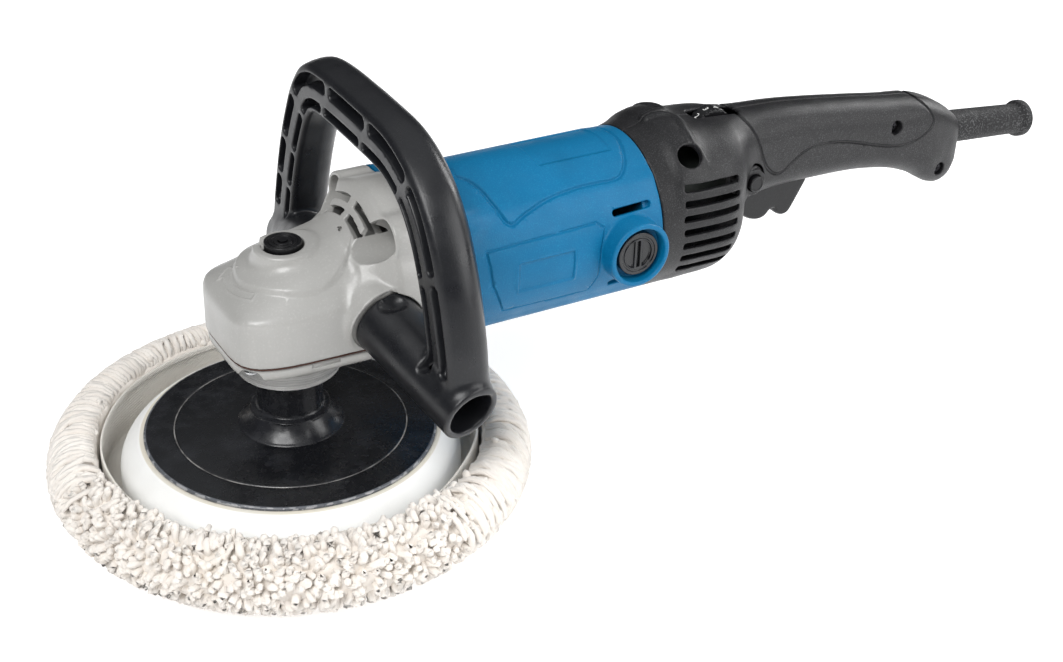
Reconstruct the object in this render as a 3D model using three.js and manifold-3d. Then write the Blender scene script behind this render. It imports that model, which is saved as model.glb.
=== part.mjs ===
// Rotary polisher. Millimetres, +Z up along the spindle, +X from the spindle towards the grip.
// The origin is the centre of the bonnet's working face.
import * as THREE from 'three';
import Module from 'manifold-3d';

const wasm = await Module();
wasm.setup();

// ---------------------------------------------------------------- driving dimensions
const GAP = 0.3; // clearance between neighbouring pieces
const DETAIL = 0.45; // share of the full number of facets on round shapes
const SLIVER = 0.004; // edges shorter than this are merged
const MOTOR_Z = 125.4; // height of the motor axis

const WOOL_R = 127;
const WOOL_TOP = 44;
const CUP_R = 100; // outside of the canvas wall
const CUP_TOP = 40.5;
const CUP_FLOOR = 11.3; // underside of the canvas floor
const CANVAS = 1.4;
const HOOK_R = 87;
const FOAM_R = 90;
const FOAM_BASE = 14.5;
const FOAM_LIP = 40;
const DISC_R = 77;
const DISC_BASE = 38.2;
const DISC_EDGE = 42;
const RING_LINE_R = 61;
const HUB_R = 17.5;
const HUB_TOP = 80.5;
const HUB_FLANGE_R = 22;

const COLLAR_R = 26.8;
const COLLAR_BASE = 78.3;
const PLATE_BASE = 92;
const PLATE_TOP = 98.6;
const PARTING_Z = 100;
const HEAD_REAR_X = 61.7;
const GEAR_CHAMBER_R = 29;
const PINION_TEETH = 9;
const CROWN_TEETH = 41;
const CONE_IN = 21.5; // cone distances of the tooth ends
const CONE_OUT = 27.6;
const CONE_MEAN = 27;
const SPINDLE_TOP = 135.5;
const BUTTON_R = 10.4;
const BUTTON_TOP = 150.5;
const BUTTON_POCKET = 138.5;
const LOCK_TRAVEL = 4;

const MOTOR_R = 46;
const MOTOR_WALL = 3.7;
const MOTOR_X0 = 62;
const MOTOR_X1 = 199.4;
const SHAFT_R = 5;
const CORE_R = 23;
const CORE_X0 = 98;
const CORE_X1 = 147;
const BRUSH_X = 178.8;
const BRUSH_BOSS_R = 18.2;
const BRUSH_CAP_R = 12.3;

const SHELL_WALL = 2.6;
const GRIP_REAR_X = 440.5;
const TRIGGER_PIVOT = [281, 128];
const TRIGGER_HALF = 7.8;
const DIAL_AXIS = [258, 161.5];
const DIAL_R = 12.5;
const LOCK_ON = [274, 135];
const BOOT_START = [428.5, 128.4];
const BOOT_END = [505, 121.2];
const BOOT_BORE = 4;

const ARM_ROOT = [37, 40, 114.9]; // x, |y|, z of the arm's axis at the gear head
const ARM_END = [49.1, 105, 95.3];
const ARM_ROOT_R = 17.4;
const ARM_END_R = 16;
const ARM_BORE_R = 11.5;
const LOOP_X0 = 38;
const LOOP_X1 = 66;
const LOOP_THICK = 24;
const LOOP_CROWN = 3; // how far the outside bulges between its front and back edges
// Middle line of the loop in the YZ plane, from the near side over the top to the far side.
const LOOP_LINE = [
  [-95.2, 104], [-93, 121], [-90.2, 133.5], [-86.9, 146], [-82.6, 158], [-77.5, 169.5], [-71, 180.5],
  [-62.8, 190], [-52.4, 197.5], [-40.7, 202.6], [-28.2, 205], [-2.7, 206.3], [22.8, 206.9], [38, 206.7],
  [48.4, 205.6], [55, 203.2], [60, 199.8], [67.5, 190.2], [73.5, 179], [78.9, 167.5], [83.7, 155.5],
  [87.8, 143.5], [91.5, 131], [94.8, 119], [98.2, 104],
];

// ---------------------------------------------------------------- colours
const PAINT = { color: 0xaeaca6, roughness: 0.45, metalness: 0.35 };
const BARE_CAST = { color: 0xc4c3bf, roughness: 0.3, metalness: 0.8 };
const STEEL = { color: 0x9a9c9f, roughness: 0.3, metalness: 1.0 };
const DARK_STEEL = { color: 0x2b2b2d, roughness: 0.4, metalness: 0.8 };
const BLUE = { color: 0x1471a6, roughness: 0.5, metalness: 0.0 };
const BLACK = { color: 0x2c2c30, roughness: 0.55, metalness: 0.0 };
const RUBBER = { color: 0x232325, roughness: 0.85, metalness: 0.0 };
const GLOSS_BLACK = { color: 0x15161a, roughness: 0.15, metalness: 0.0 };
const COPPER = { color: 0xb06a3a, roughness: 0.35, metalness: 1.0 };
const BRASS = { color: 0xb9974f, roughness: 0.35, metalness: 1.0 };
const CARBON = { color: 0x26262a, roughness: 0.6, metalness: 0.2 };
const LAMINATION = { color: 0x6d6f72, roughness: 0.5, metalness: 0.9 };
const POTTING = { color: 0x30332f, roughness: 0.5, metalness: 0.0 };
const FOAM = { color: 0xf1f1ee, roughness: 0.9, metalness: 0.0 };
const CLOTH = { color: 0xcfc4ac, roughness: 0.95, metalness: 0.0 };
const WOOL = { color: 0xe9e2d3, roughness: 1.0, metalness: 0.0 };
const SEAL = { color: 0x5b3229, roughness: 0.8, metalness: 0.0 };

// ---------------------------------------------------------------- solids
// Welds a closed triangle list into a manifold solid, facing outwards.
function solid(points, faces) {
  const ids = new Map();
  const verts = [];
  const map = points.map((p) => {
    const key = p.map((v) => Math.round(v * 1e5)).join();
    if (!ids.has(key)) {
      ids.set(key, verts.length / 3);
      verts.push(...p);
    }
    return ids.get(key);
  });
  let tris = faces.map((f) => f.map((i) => map[i]));
  tris = tris.filter(([a, b, c]) => a !== b && b !== c && c !== a);
  const at = (i) => new THREE.Vector3().fromArray(verts, 3 * i);
  const volume = tris.reduce((sum, [a, b, c]) => sum + at(a).dot(at(b).cross(at(c))), 0);
  if (volume < 0) tris = tris.map(([a, b, c]) => [a, c, b]);
  const mesh = new wasm.Mesh({
    numProp: 3,
    vertProperties: new Float32Array(verts),
    triVerts: new Uint32Array(tris.flat()),
  });
  return new wasm.Manifold(mesh);
}

function fromGeometry(geometry) {
  const pos = geometry.attributes.position;
  const points = [];
  for (let i = 0; i < pos.count; i++) points.push([pos.getX(i), pos.getY(i), pos.getZ(i)]);
  const index = geometry.index ? [...geometry.index.array] : points.map((_, i) => i);
  const faces = [];
  for (let i = 0; i < index.length; i += 3) faces.push(index.slice(i, i + 3));
  return solid(points, faces);
}

const facets = (n) => (n <= 8 ? n : 2 * Math.round((n * DETAIL) / 2));

function join(...parts) {
  return parts.reduce((a, b) => a.add(b));
}

function cut(body, ...tools) {
  return tools.reduce((a, b) => a.subtract(b), body);
}

function meet(a, b) {
  return a.intersect(b);
}

function box(x0, x1, y0, y1, z0, z1) {
  const geometry = new THREE.BoxGeometry(x1 - x0, y1 - y0, z1 - z0);
  geometry.translate((x0 + x1) / 2, (y0 + y1) / 2, (z0 + z1) / 2);
  return fromGeometry(geometry);
}

// Round bar or cone between two points.
function rod(from, to, r0, r1 = r0, segments = 32) {
  const a = new THREE.Vector3(...from);
  const b = new THREE.Vector3(...to);
  const geometry = new THREE.CylinderGeometry(r1, r0, a.distanceTo(b), facets(segments));
  const turn = new THREE.Quaternion().setFromUnitVectors(
    new THREE.Vector3(0, 1, 0), b.clone().sub(a).normalize());
  geometry.applyQuaternion(turn);
  const mid = a.add(b).multiplyScalar(0.5);
  geometry.translate(mid.x, mid.y, mid.z);
  return fromGeometry(geometry);
}

const rodZ = (x, y, z0, z1, r, n = 32) => rod([x, y, z0], [x, y, z1], r, r, n);
const rodX = (x0, x1, r, n = 32, y = 0, z = MOTOR_Z) => rod([x0, y, z], [x1, y, z], r, r, n);
const rodY = (x, z, y0, y1, r, n = 24) => rod([x, y0, z], [x, y1, z], r, r, n);

// Turns a profile of [radius, height] round the Z axis.
function turn(profile, segments = 48) {
  const geometry = new THREE.LatheGeometry(profile.map((p) => new THREE.Vector2(...p)), facets(segments));
  geometry.rotateX(Math.PI / 2);
  return fromGeometry(geometry);
}

function tubeX(x0, x1, inner, outer, n = 32) {
  return cut(rodX(x0, x1, outer, n), rodX(x0 - 1, x1 + 1, inner, n));
}

function tubeZ(z0, z1, inner, outer, n = 32) {
  return cut(rodZ(0, 0, z0, z1, outer, n), rodZ(0, 0, z0 - 1, z1 + 1, inner, n));
}

// Skins a row of matching outlines and closes both ends.
function skin(outlines) {
  const n = outlines[0].length;
  const points = outlines.flat();
  const faces = [];
  for (let s = 0; s + 1 < outlines.length; s++) {
    for (let i = 0; i < n; i++) {
      const j = (i + 1) % n;
      const a = s * n;
      const b = a + n;
      faces.push([a + i, a + j, b + j], [a + i, b + j, b + i]);
    }
  }
  for (const [start, flip] of [[0, true], [(outlines.length - 1) * n, false]]) {
    for (let i = 1; i + 1 < n; i++) {
      const f = [start, start + i, start + i + 1];
      faces.push(flip ? f.reverse() : f);
    }
  }
  return solid(points, faces);
}

// Rounded rectangle as [u, v] points, with separate upper and lower corner radii.
function roundedOutline(halfWidth, low, high, rHigh, rLow, steps = 4) {
  const out = [];
  const corners = [
    [halfWidth, high, rHigh, 0],
    [-halfWidth, high, rHigh, 90],
    [-halfWidth, low, rLow, 180],
    [halfWidth, low, rLow, 270],
  ];
  for (const [u, v, wanted, start] of corners) {
    const r = Math.max(0.5, Math.min(wanted, halfWidth - 0.01, (high - low) / 2 - 0.01));
    for (let k = 0; k <= steps; k++) {
      const a = THREE.MathUtils.degToRad(start + (90 * k) / steps);
      out.push([u - Math.sign(u) * r + r * Math.cos(a), v + (v === high ? -r : r) + r * Math.sin(a)]);
    }
  }
  return out;
}

// Body lofted along X from [x, low, high, halfWidth, upper corner, lower corner] sections.
function loftX(sections, inset = 0, steps = 4) {
  return skin(sections.map(([x, low, high, half, rHigh, rLow]) => {
    const outline = roundedOutline(
      half - inset, low + inset, high - inset, Math.max(rHigh - inset, 0.6), Math.max(rLow - inset, 0.6), steps);
    return outline.map(([u, v]) => [x, u, v]);
  }));
}

// Flat plate from a plan outline.
function plate(outline, z0, z1) {
  const geometry = new THREE.ExtrudeGeometry(
    new THREE.Shape(outline.map((p) => new THREE.Vector2(...p))),
    { depth: z1 - z0, bevelEnabled: false });
  geometry.translate(0, 0, z0);
  return fromGeometry(geometry);
}

// Side outline of [x, z] points, extruded from y0 to y1.
function sidePlate(outline, y0, y1) {
  const geometry = new THREE.ExtrudeGeometry(
    new THREE.Shape(outline.map((p) => new THREE.Vector2(...p))),
    { depth: y1 - y0, bevelEnabled: false });
  geometry.rotateX(Math.PI / 2);
  geometry.translate(0, y1, 0);
  return fromGeometry(geometry);
}

function mirrorY(body) {
  return body.mirror([0, 1, 0]);
}

// ---------------------------------------------------------------- assembly
const polisher = new THREE.Group();
polisher.name = 'rotary_polisher';

function piece(name, body, look) {
  const { vertProperties, triVerts } = body.asOriginal().simplify(SLIVER).getMesh();
  const geometry = new THREE.BufferGeometry();
  geometry.setAttribute('position', new THREE.BufferAttribute(new Float32Array(vertProperties), 3));
  geometry.setIndex([...triVerts]);
  geometry.computeVertexNormals();
  const mesh = new THREE.Mesh(geometry, new THREE.MeshStandardMaterial({ name, ...look }));
  mesh.name = name;
  polisher.add(mesh);
}

// Makes a near (-Y) piece and its far twin.
function pair(name, near, look) {
  piece(`${name}_near`, near, look);
  piece(`${name}_far`, mirrorY(near), look);
}

// ---------------------------------------------------------------- pad
function buildPad() {
  piece('wool_bonnet', turn([
    [0, 0], [98, 0], [107, 2.5], [114, 7], [120, 12], [124.6, 18], [WOOL_R, 25], [125.8, 32], [121, 39],
    [114, 43], [107, WOOL_TOP], [102.5, 42.5], [CUP_R + GAP, 38], [CUP_R + GAP, CUP_FLOOR - GAP],
    [0, CUP_FLOOR - GAP],
  ], 64), WOOL);
  piece('canvas_cup', turn([
    [0, CUP_FLOOR], [CUP_R - 2, CUP_FLOOR], [CUP_R, CUP_FLOOR + 2], [CUP_R, CUP_TOP],
    [CUP_R - CANVAS, CUP_TOP], [CUP_R - CANVAS, CUP_FLOOR + 2.6],
    [CUP_R - 2.6, CUP_FLOOR + CANVAS], [0, CUP_FLOOR + CANVAS],
  ], 64), CLOTH);
  piece('hook_sheet', turn([
    [0, 13], [HOOK_R, 13], [HOOK_R, 14.2], [0, 14.2],
  ], 48), RUBBER);
  piece('foam_pad', turn([
    [0, FOAM_BASE], [FOAM_R - 2, FOAM_BASE], [FOAM_R, 17], [FOAM_R, 25.5], [88.5, 30.5],
    [85.5, 35], [81.8, 38.6], [79.6, FOAM_LIP], [DISC_R + GAP, FOAM_LIP],
    [DISC_R + GAP, DISC_BASE - GAP], [0, DISC_BASE - GAP],
  ], 64), FOAM);
  piece('backing_disc', turn([
    [0, DISC_BASE], [DISC_R - 0.6, DISC_BASE], [DISC_R, DISC_BASE + 0.6], [DISC_R, DISC_EDGE - 0.5],
    [DISC_R - 0.8, DISC_EDGE], [RING_LINE_R + 0.7, 43.5], [RING_LINE_R, 43.1],
    [RING_LINE_R - 0.7, 43.6], [45, 44.6], [30, 45.2], [12.3, 45.5], [12.3, 40.7], [0, 40.7],
  ], 64), GLOSS_BLACK);
  const notches = [];
  for (let k = 0; k < 6; k++) {
    const a = (k * Math.PI) / 3;
    notches.push(rodZ((HUB_FLANGE_R + 4) * Math.cos(a), (HUB_FLANGE_R + 4) * Math.sin(a), 45, 51, 6, 16));
  }
  piece('pad_hub', cut(turn([
    [0, 41], [12, 41], [12, 45.8], [HUB_FLANGE_R, 45.8], [HUB_FLANGE_R, 48.6], [20, 50.2],
    [18.2, 51], [HUB_R, 53], [HUB_R, HUB_TOP - 1], [HUB_R - 1, HUB_TOP], [7.3, HUB_TOP],
    [7.3, 51.5], [0, 51.5],
  ], 40), ...notches), GLOSS_BLACK);
}

// ---------------------------------------------------------------- bevel pair
// One straight tooth, from the inner to the outer cone distance, in the XZ plane at angle 0.
// along: unit vector from the cone's tip; out: unit vector from root to tip of the tooth.
function bevelTooth(along, out, pitch) {
  const outlines = [CONE_IN, CONE_OUT].map((distance) => {
    const scale = distance / CONE_MEAN;
    const half = [0.31 * pitch, 0.12 * pitch];
    const rise = [-1.45, 0.8];
    const at = (side, k) => [0, 1, 2].map((axis) => {
      const base = along[axis] * distance + out[axis] * rise[k] * scale;
      return base + (axis === 1 ? side * half[k] * scale : 0);
    });
    return [at(-1, 0), at(1, 0), at(1, 1), at(-1, 1)];
  });
  return skin(outlines);
}

function buildGears() {
  const pinionAngle = Math.atan(PINION_TEETH / CROWN_TEETH);
  const s = Math.sin(pinionAngle);
  const c = Math.cos(pinionAngle);
  const pitch = (2 * Math.PI * CONE_MEAN * s) / PINION_TEETH;
  const along = [c, 0, -s];
  const rootDrop = 1.15;

  const crownTooth = bevelTooth(along, [s, 0, c], pitch);
  const rootAt = (distance) => {
    const k = distance / CONE_MEAN;
    return [c * distance - s * rootDrop * k, MOTOR_Z - s * distance - c * rootDrop * k];
  };
  const [rIn, zIn] = rootAt(CONE_IN);
  const [rOut, zOut] = rootAt(CONE_OUT);
  let crown = turn([
    [8.3, 99.5], [13, 99.5], [13, 107], [rOut - 2, 107], [rOut, 110], [rOut, zOut], [rIn, zIn],
    [rIn - 1.5, zIn - 2.5], [12, 116], [8.3, 116], [8.3, 99.5],
  ], 60);
  for (let k = 0; k < CROWN_TEETH; k++) {
    crown = crown.add(crownTooth.rotate([0, 0, (360 * k) / CROWN_TEETH]).translate([0, 0, MOTOR_Z]));
  }
  piece('crown_gear', crown, STEEL);

  const pinionTooth = bevelTooth(along, [-s, 0, -c], pitch);
  const coneRoot = (distance) => (distance / CONE_MEAN) * (s * CONE_MEAN - c * rootDrop);
  let pinion = rod([CONE_IN * c - 0.2, 0, MOTOR_Z], [CONE_OUT * c, 0, MOTOR_Z],
    coneRoot(CONE_IN), coneRoot(CONE_OUT), 36);
  for (let k = 0; k < PINION_TEETH; k++) {
    const angle = (360 * (k + 0.5)) / PINION_TEETH;
    pinion = pinion.add(pinionTooth.rotate([angle, 0, 0]).translate([0, 0, MOTOR_Z]));
  }
  pinion = join(pinion, rodX(CONE_OUT * c - 0.4, 29.4, 4.4, 24), rodX(29.2, 36.4, 7, 24));
  piece('bevel_pinion', cut(pinion, rodX(30.5, 37, 4, 24)), STEEL);
}

// ---------------------------------------------------------------- spindle and shaft lock
function buildSpindle() {
  const body = turn([
    [0, 52], [6.4, 52], [7, 53], [7, 81], [9.2, 81], [9.2, 84], [7.5, 84], [7.5, 97], [8, 97],
    [8, 118], [SHAFT_R, 118], [SHAFT_R, SPINDLE_TOP - 0.6], [SHAFT_R - 0.6, SPINDLE_TOP], [0, SPINDLE_TOP],
  ], 40);
  piece('spindle', cut(body, box(-9, 9, -2.1, 2.1, SPINDLE_TOP - LOCK_TRAVEL - 0.3, 140)), STEEL);
  piece('spindle_lower_bearing', tubeZ(84.3, 95.3, 7.8, 17.5, 40), STEEL);
  piece('spindle_upper_bearing', tubeZ(128, 135.9, SHAFT_R + GAP, 9.5), STEEL);

  const tip = SPINDLE_TOP + 0.6;
  const pin = join(
    box(-3.1, 3.1, -1.8, 1.8, tip, 141), rodZ(0, 0, 140.6, 147.4, 3.4, 24),
    rodZ(0, 0, 147, BUTTON_TOP + 0.4, 2.2, 20));
  piece('lock_pin', pin, STEEL);
  const grooves = [5.4, 8.2].map((r) => [[r - 0.45, BUTTON_TOP], [r, BUTTON_TOP - 0.6], [r + 0.45, BUTTON_TOP]]);
  piece('lock_button', turn([
    [2.5, 147.8], [8.2, 147.8], [8.2, 143.3], [BUTTON_R, 143.3], [BUTTON_R, BUTTON_TOP - 0.3],
    ...grooves.reverse().map((g) => g.reverse()).flat(), [2.5, BUTTON_TOP], [2.5, 147.8],
  ], 40), RUBBER);

  const turns = 3.5;
  const steps = 12;
  const wire = 0.55;
  const rings = [];
  for (let i = 0; i <= turns * steps; i++) {
    const a = (2 * Math.PI * i) / steps;
    const z = 139.4 + (147.2 - 139.4) * (i / (turns * steps));
    rings.push([0, 1, 2, 3, 4].map((k) => {
      const b = (2 * Math.PI * k) / 5;
      const r = 5.8 + wire * Math.cos(b);
      return [r * Math.cos(a), r * Math.sin(a), z + wire * Math.sin(b)];
    }));
  }
  piece('lock_spring', skin(rings), STEEL);
}

// ---------------------------------------------------------------- gear head
const NOSE = [
  [-37, PARTING_Z, 123.5, 17, 5, 1],
  [-35.8, PARTING_Z, 125.8, 24, 7, 1],
  [-32.5, PARTING_Z, 128.6, 30, 9, 1],
  [-26, PARTING_Z, 131.8, 34.5, 11, 1],
  [-16, PARTING_Z, 136, 36.6, 13, 1],
  [-4, PARTING_Z, 140.8, 37.2, 16, 1],
  [10, PARTING_Z, 143.8, 37.6, 19, 1],
  [22, PARTING_Z, 147.4, 38, 22, 1],
  [31.6, PARTING_Z, 151, 38.5, 25, 1],
  [38, PARTING_Z, 156, 39.5, 28, 1],
];
const NECK = [
  [32, 96, 154, 37.5, 27, 12],
  [35, 93, 158.5, 38.5, 31, 16],
  [38.5, 90, 164.5, 41.5, 35, 22],
  [42, 85.5, 170, 45, 42, 32],
  [46, 81, 171.4, 46, 46, 44],
  [HEAD_REAR_X, 79.4, 171.4, 46, 46, 46],
];
const RETAINER_SCREWS = [[-27.5, 20], [-27.5, -20], [25.5, 27.5], [25.5, -27.5]];
const FLANGE_SCREW_R = 40.5;
const FLANGE_SCREWS = [45, 135, 225, 315].map((deg) => {
  const a = THREE.MathUtils.degToRad(deg);
  return [FLANGE_SCREW_R * Math.cos(a), MOTOR_Z + FLANGE_SCREW_R * Math.sin(a)];
});
// Air slots across the sloping neck: x and distance from the motor axis, in two rows.
const VENT_ROWS = [[34.2, 31.8], [38.4, 38.2]];
const VENT_WIDTH = 4;
const VENT_LENGTH = 17;
const VENT_SLOPE = 57; // degrees, tilt of the slot's axis from upright towards the nose
const VENT_ANGLE = 20; // degrees, from the top centre line
const LOBE_R = 12.4; // corner lobes round the flange screws
const SCOOP_R = 8.8; // open pocket in front of each flange screw

function armPoint(t, side) {
  const mix = ARM_ROOT.map((v, i) => v + t * (ARM_END[i] - v));
  return [mix[0], side * mix[1], mix[2]];
}

// Space kept free round both arms of the loop handle.
function clearOfArms(body) {
  return cut(body, ...[-1, 1].map((side) => rod(
    armPoint(-0.032, side), armPoint(0.4, side), ARM_ROOT_R + 0.8, ARM_ROOT_R, 32)));
}

function planOutline(inset) {
  const half = NOSE.filter(([x]) => x < 32).map(([x, , , w]) => [Math.max(x, -37 + inset), w - inset]);
  return [...half, ...half.slice().reverse().map(([x, y]) => [x, -y])];
}

function buildGearHead() {
  const bosses = [-1, 1].map((side) => cut(
    rod(armPoint(-0.26, side), armPoint(-0.032, side), 20.4, 19.6, 36),
    box(0, 31.9, -60, 60, 80, PARTING_Z)));
  const buttonBoss = turn([[0, 128], [16.2, 128], [16.2, 146.8], [15, 148], [0, 148]], 36);
  const lobes = FLANGE_SCREWS.map(([y, z]) => rodX(44, HEAD_REAR_X, LOBE_R, 32, y, z));
  let body = join(loftX(NOSE), loftX(NECK), ...bosses, ...lobes, buttonBoss);
  body = cut(body,
    rodZ(0, 0, 98, 121.6, GEAR_CHAMBER_R, 48),
    rodX(12, 46, 11.4, 28),
    rodZ(0, 0, 120, 128.2, 6.2, 24),
    rodZ(0, 0, 127.7, 136.2, 9.8, 32),
    rodZ(0, 0, 136, 140, 3.9, 24),
    rodZ(0, 0, BUTTON_POCKET, 152, BUTTON_R + 0.4, 36),
    rodX(46, HEAD_REAR_X + 1, 14.3, 32),
    tubeX(39, HEAD_REAR_X + 1, 19, 29.5, 40),
    rodX(57.5, HEAD_REAR_X + 1, 29.5, 40));
  body = clearOfArms(body);
  const holes = [];
  for (const [x, y] of RETAINER_SCREWS) holes.push(rodZ(x, y, 98, 113, 2.5, 16));
  for (const [y, z] of FLANGE_SCREWS) {
    holes.push(rodX(50, 64, 2.5, 16, y, z));
    holes.push(rodX(34, 56.6, SCOOP_R, 24, y, z));
  }
  for (const side of [-1, 1]) {
    holes.push(rod(armPoint(-0.2, side), armPoint(0, side), 4.3, 4.3, 20));
    for (const [x, out] of VENT_ROWS) {
      const slot = box(-VENT_WIDTH / 2, VENT_WIDTH / 2, -VENT_LENGTH / 2, VENT_LENGTH / 2, -11, 5)
        .rotate([0, -VENT_SLOPE, 0])
        .translate([x, 0, out])
        .rotate([side * VENT_ANGLE, 0, 0])
        .translate([0, 0, MOTOR_Z]);
      holes.push(slot);
    }
  }
  piece('gear_housing', cut(body, ...holes), PAINT);

  const collar = turn([
    [19.5, COLLAR_BASE], [COLLAR_R - 0.8, COLLAR_BASE], [COLLAR_R, COLLAR_BASE + 0.8], [28.2, 86],
    [30.5, PLATE_BASE + 1], [17.8, PLATE_BASE + 1], [17.8, 84], [10, 84], [10, 82], [19.5, 82],
    [19.5, COLLAR_BASE],
  ], 48);
  let retainer = cut(plate(planOutline(1.2), PLATE_BASE, PLATE_TOP), rodZ(0, 0, 90, 100, 17.8, 48));
  retainer = clearOfArms(join(retainer, collar));
  for (const [x, y] of RETAINER_SCREWS) {
    retainer = cut(retainer, rodZ(x, y, 90, 94.6, 4.4, 20), rodZ(x, y, 90, 100, 2.5, 16));
  }
  piece('bearing_retainer', retainer, BARE_CAST);

  let gasket = cut(plate(planOutline(0.4), PLATE_TOP + GAP, PARTING_Z - GAP), rodZ(0, 0, 98, 101, GEAR_CHAMBER_R, 48));
  for (const [x, y] of RETAINER_SCREWS) gasket = cut(gasket, rodZ(x, y, 98, 101, 2.6, 16));
  piece('gearbox_gasket', clearOfArms(gasket), SEAL);

  RETAINER_SCREWS.forEach(([x, y], i) => {
    const screw = join(rodZ(x, y, 91.4, 94.3, 4, 20), rodZ(x, y, 94, 111.5, 2.15, 14));
    const recess = join(
      box(x - 2.2, x + 2.2, y - 0.5, y + 0.5, 90, 92.8), box(x - 0.5, x + 0.5, y - 2.2, y + 2.2, 90, 92.8));
    piece(`retainer_screw_${i + 1}`, cut(screw, recess), DARK_STEEL);
  });
  FLANGE_SCREWS.forEach(([y, z], i) => {
    const screw = join(rodX(53, 56.6, 4, 18, y, z), rodX(56, 80, 2.15, 14, y, z));
    piece(`gearcase_screw_${i + 1}`, cut(screw, box(52, 54.2, y - 2.4, y + 2.4, z - 0.5, z + 0.5)), DARK_STEEL);
  });
}

// ---------------------------------------------------------------- loop handle
function buildLoopHandle() {
  const curve = new THREE.CatmullRomCurve3(LOOP_LINE.map(([y, z]) => new THREE.Vector3(0, y, z)));
  const midX = (LOOP_X0 + LOOP_X1) / 2;
  // Section in [across the loop, along X]: flat front, rounded back, crowned outside.
  const halfDepth = (LOOP_X1 - LOOP_X0) / 2;
  const outline = roundedOutline(LOOP_THICK / 2, -halfDepth, halfDepth, 9, 3, 3);
  outline.push([LOOP_THICK / 2, -halfDepth / 3]);
  const section = outline.map(([u, v]) => {
    const bulge = (LOOP_CROWN * Math.max(u, 0) * (1 - (v / halfDepth) ** 2)) / (LOOP_THICK / 2);
    return [u + bulge, v];
  });
  const frameAt = (t) => {
    const at = curve.getPointAt(t);
    const along = curve.getTangentAt(t);
    return { at, across: new THREE.Vector3(0, -along.z, along.y) };
  };
  const steps = 30;
  const outlines = [];
  for (let i = 0; i <= steps; i++) {
    const { at, across } = frameAt(i / steps);
    outlines.push(section.map(([u, v]) => [midX + v, at.y + across.y * u, at.z + across.z * u]));
  }
  let body = skin(outlines);
  for (const side of [-1, 1]) {
    body = join(body, rod(armPoint(-0.024, side), armPoint(1.02, side), ARM_ROOT_R, ARM_END_R, 40));
  }
  // Two rows of pockets between the ribs of the front face.
  const row = (count, from, to, offset, width) => {
    const step = (to - from) / count;
    for (let i = 0; i < count; i++) {
      const { at, across } = frameAt(from + step * (i + 0.5));
      const length = curve.getLength() * step - 5;
      const angle = THREE.MathUtils.radToDeg(Math.atan2(across.z, across.y));
      const pocket = box(-1, 6, -width / 2, width / 2, -length / 2, length / 2)
        .rotate([angle, 0, 0])
        .translate([LOOP_X0, at.y + across.y * offset, at.z + across.z * offset]);
      body = cut(body, pocket);
    }
  };
  row(10, 0.06, 0.94, 3.6, 6.2);
  row(10, 0.06, 0.94, -5.4, 4);
  for (const side of [-1, 1]) {
    body = cut(body,
      rod(armPoint(0.42, side), armPoint(1.1, side), ARM_BORE_R, ARM_BORE_R, 32),
      rod(armPoint(-0.1, side), armPoint(0.5, side), 4.3, 4.3, 20));
  }
  piece('loop_handle', body, BLACK);

  const bolt = cut(
    join(rod(armPoint(0.425, -1), armPoint(0.54, -1), 6.6, 6.6, 24), rod(armPoint(-0.18, -1), armPoint(0.43, -1), 3.9, 3.9, 20)),
    rod(armPoint(0.48, -1), armPoint(0.6, -1), 3.3, 3.3, 6));
  pair('loop_bolt', bolt, DARK_STEEL);
}

// ---------------------------------------------------------------- motor
function buildArmature() {
  const shaft = join(
    rodX(31, 37, 3.7, 24), rodX(36.8, 45.6, 6.4, 28), rodX(45, 189, SHAFT_R, 28), rodX(188.5, 206, 4, 24));
  piece('armature_shaft', shaft, STEEL);

  const slots = 12;
  const bars = [];
  const grooves = [];
  for (let k = 0; k < slots; k++) {
    const turnBy = (part) => part.rotate([(360 * k) / slots, 0, 0]).translate([0, 0, MOTOR_Z]);
    bars.push(turnBy(box(CORE_X0 - 4, CORE_X1 + 4, -1.9, 1.9, 13.5, 20.5)));
    grooves.push(turnBy(box(CORE_X0 - 1, CORE_X1 + 1, -2.2, 2.2, 13.2, 20.8)));
    grooves.push(turnBy(box(CORE_X0 - 1, CORE_X1 + 1, -0.8, 0.8, 20, 24)));
  }
  piece('armature_core', cut(tubeX(CORE_X0, CORE_X1, SHAFT_R + GAP, CORE_R, 48), ...grooves), LAMINATION);
  const ends = [tubeX(CORE_X0 - 11, CORE_X0 - 2, 9, 20.5, 36), tubeX(CORE_X1 + 2, CORE_X1 + 12, 9, 20.5, 36)];
  piece('armature_winding', join(...ends, ...bars), COPPER);

  let commutator = tubeX(167, 188, SHAFT_R + GAP, 13.5, 48);
  for (let k = 0; k < 12; k++) {
    commutator = cut(commutator,
      box(168.5, 189, -0.3, 0.3, 12.7, 15).rotate([30 * k + 15, 0, 0]).translate([0, 0, MOTOR_Z]));
  }
  piece('commutator', commutator, COPPER);

  let fan = join(rodX(68, 80, 9.5, 32), rodX(68, 69.6, 34.5, 48));
  for (let k = 0; k < 12; k++) {
    const blade = box(69, 79.5, -0.8, 0.8, 9, 34).rotate([30 * k, 0, 0]).translate([0, 0, MOTOR_Z]);
    fan = join(fan, blade);
  }
  piece('cooling_fan', cut(fan, rodX(60, 85, SHAFT_R + GAP, 28)), BLACK);
}

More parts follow.
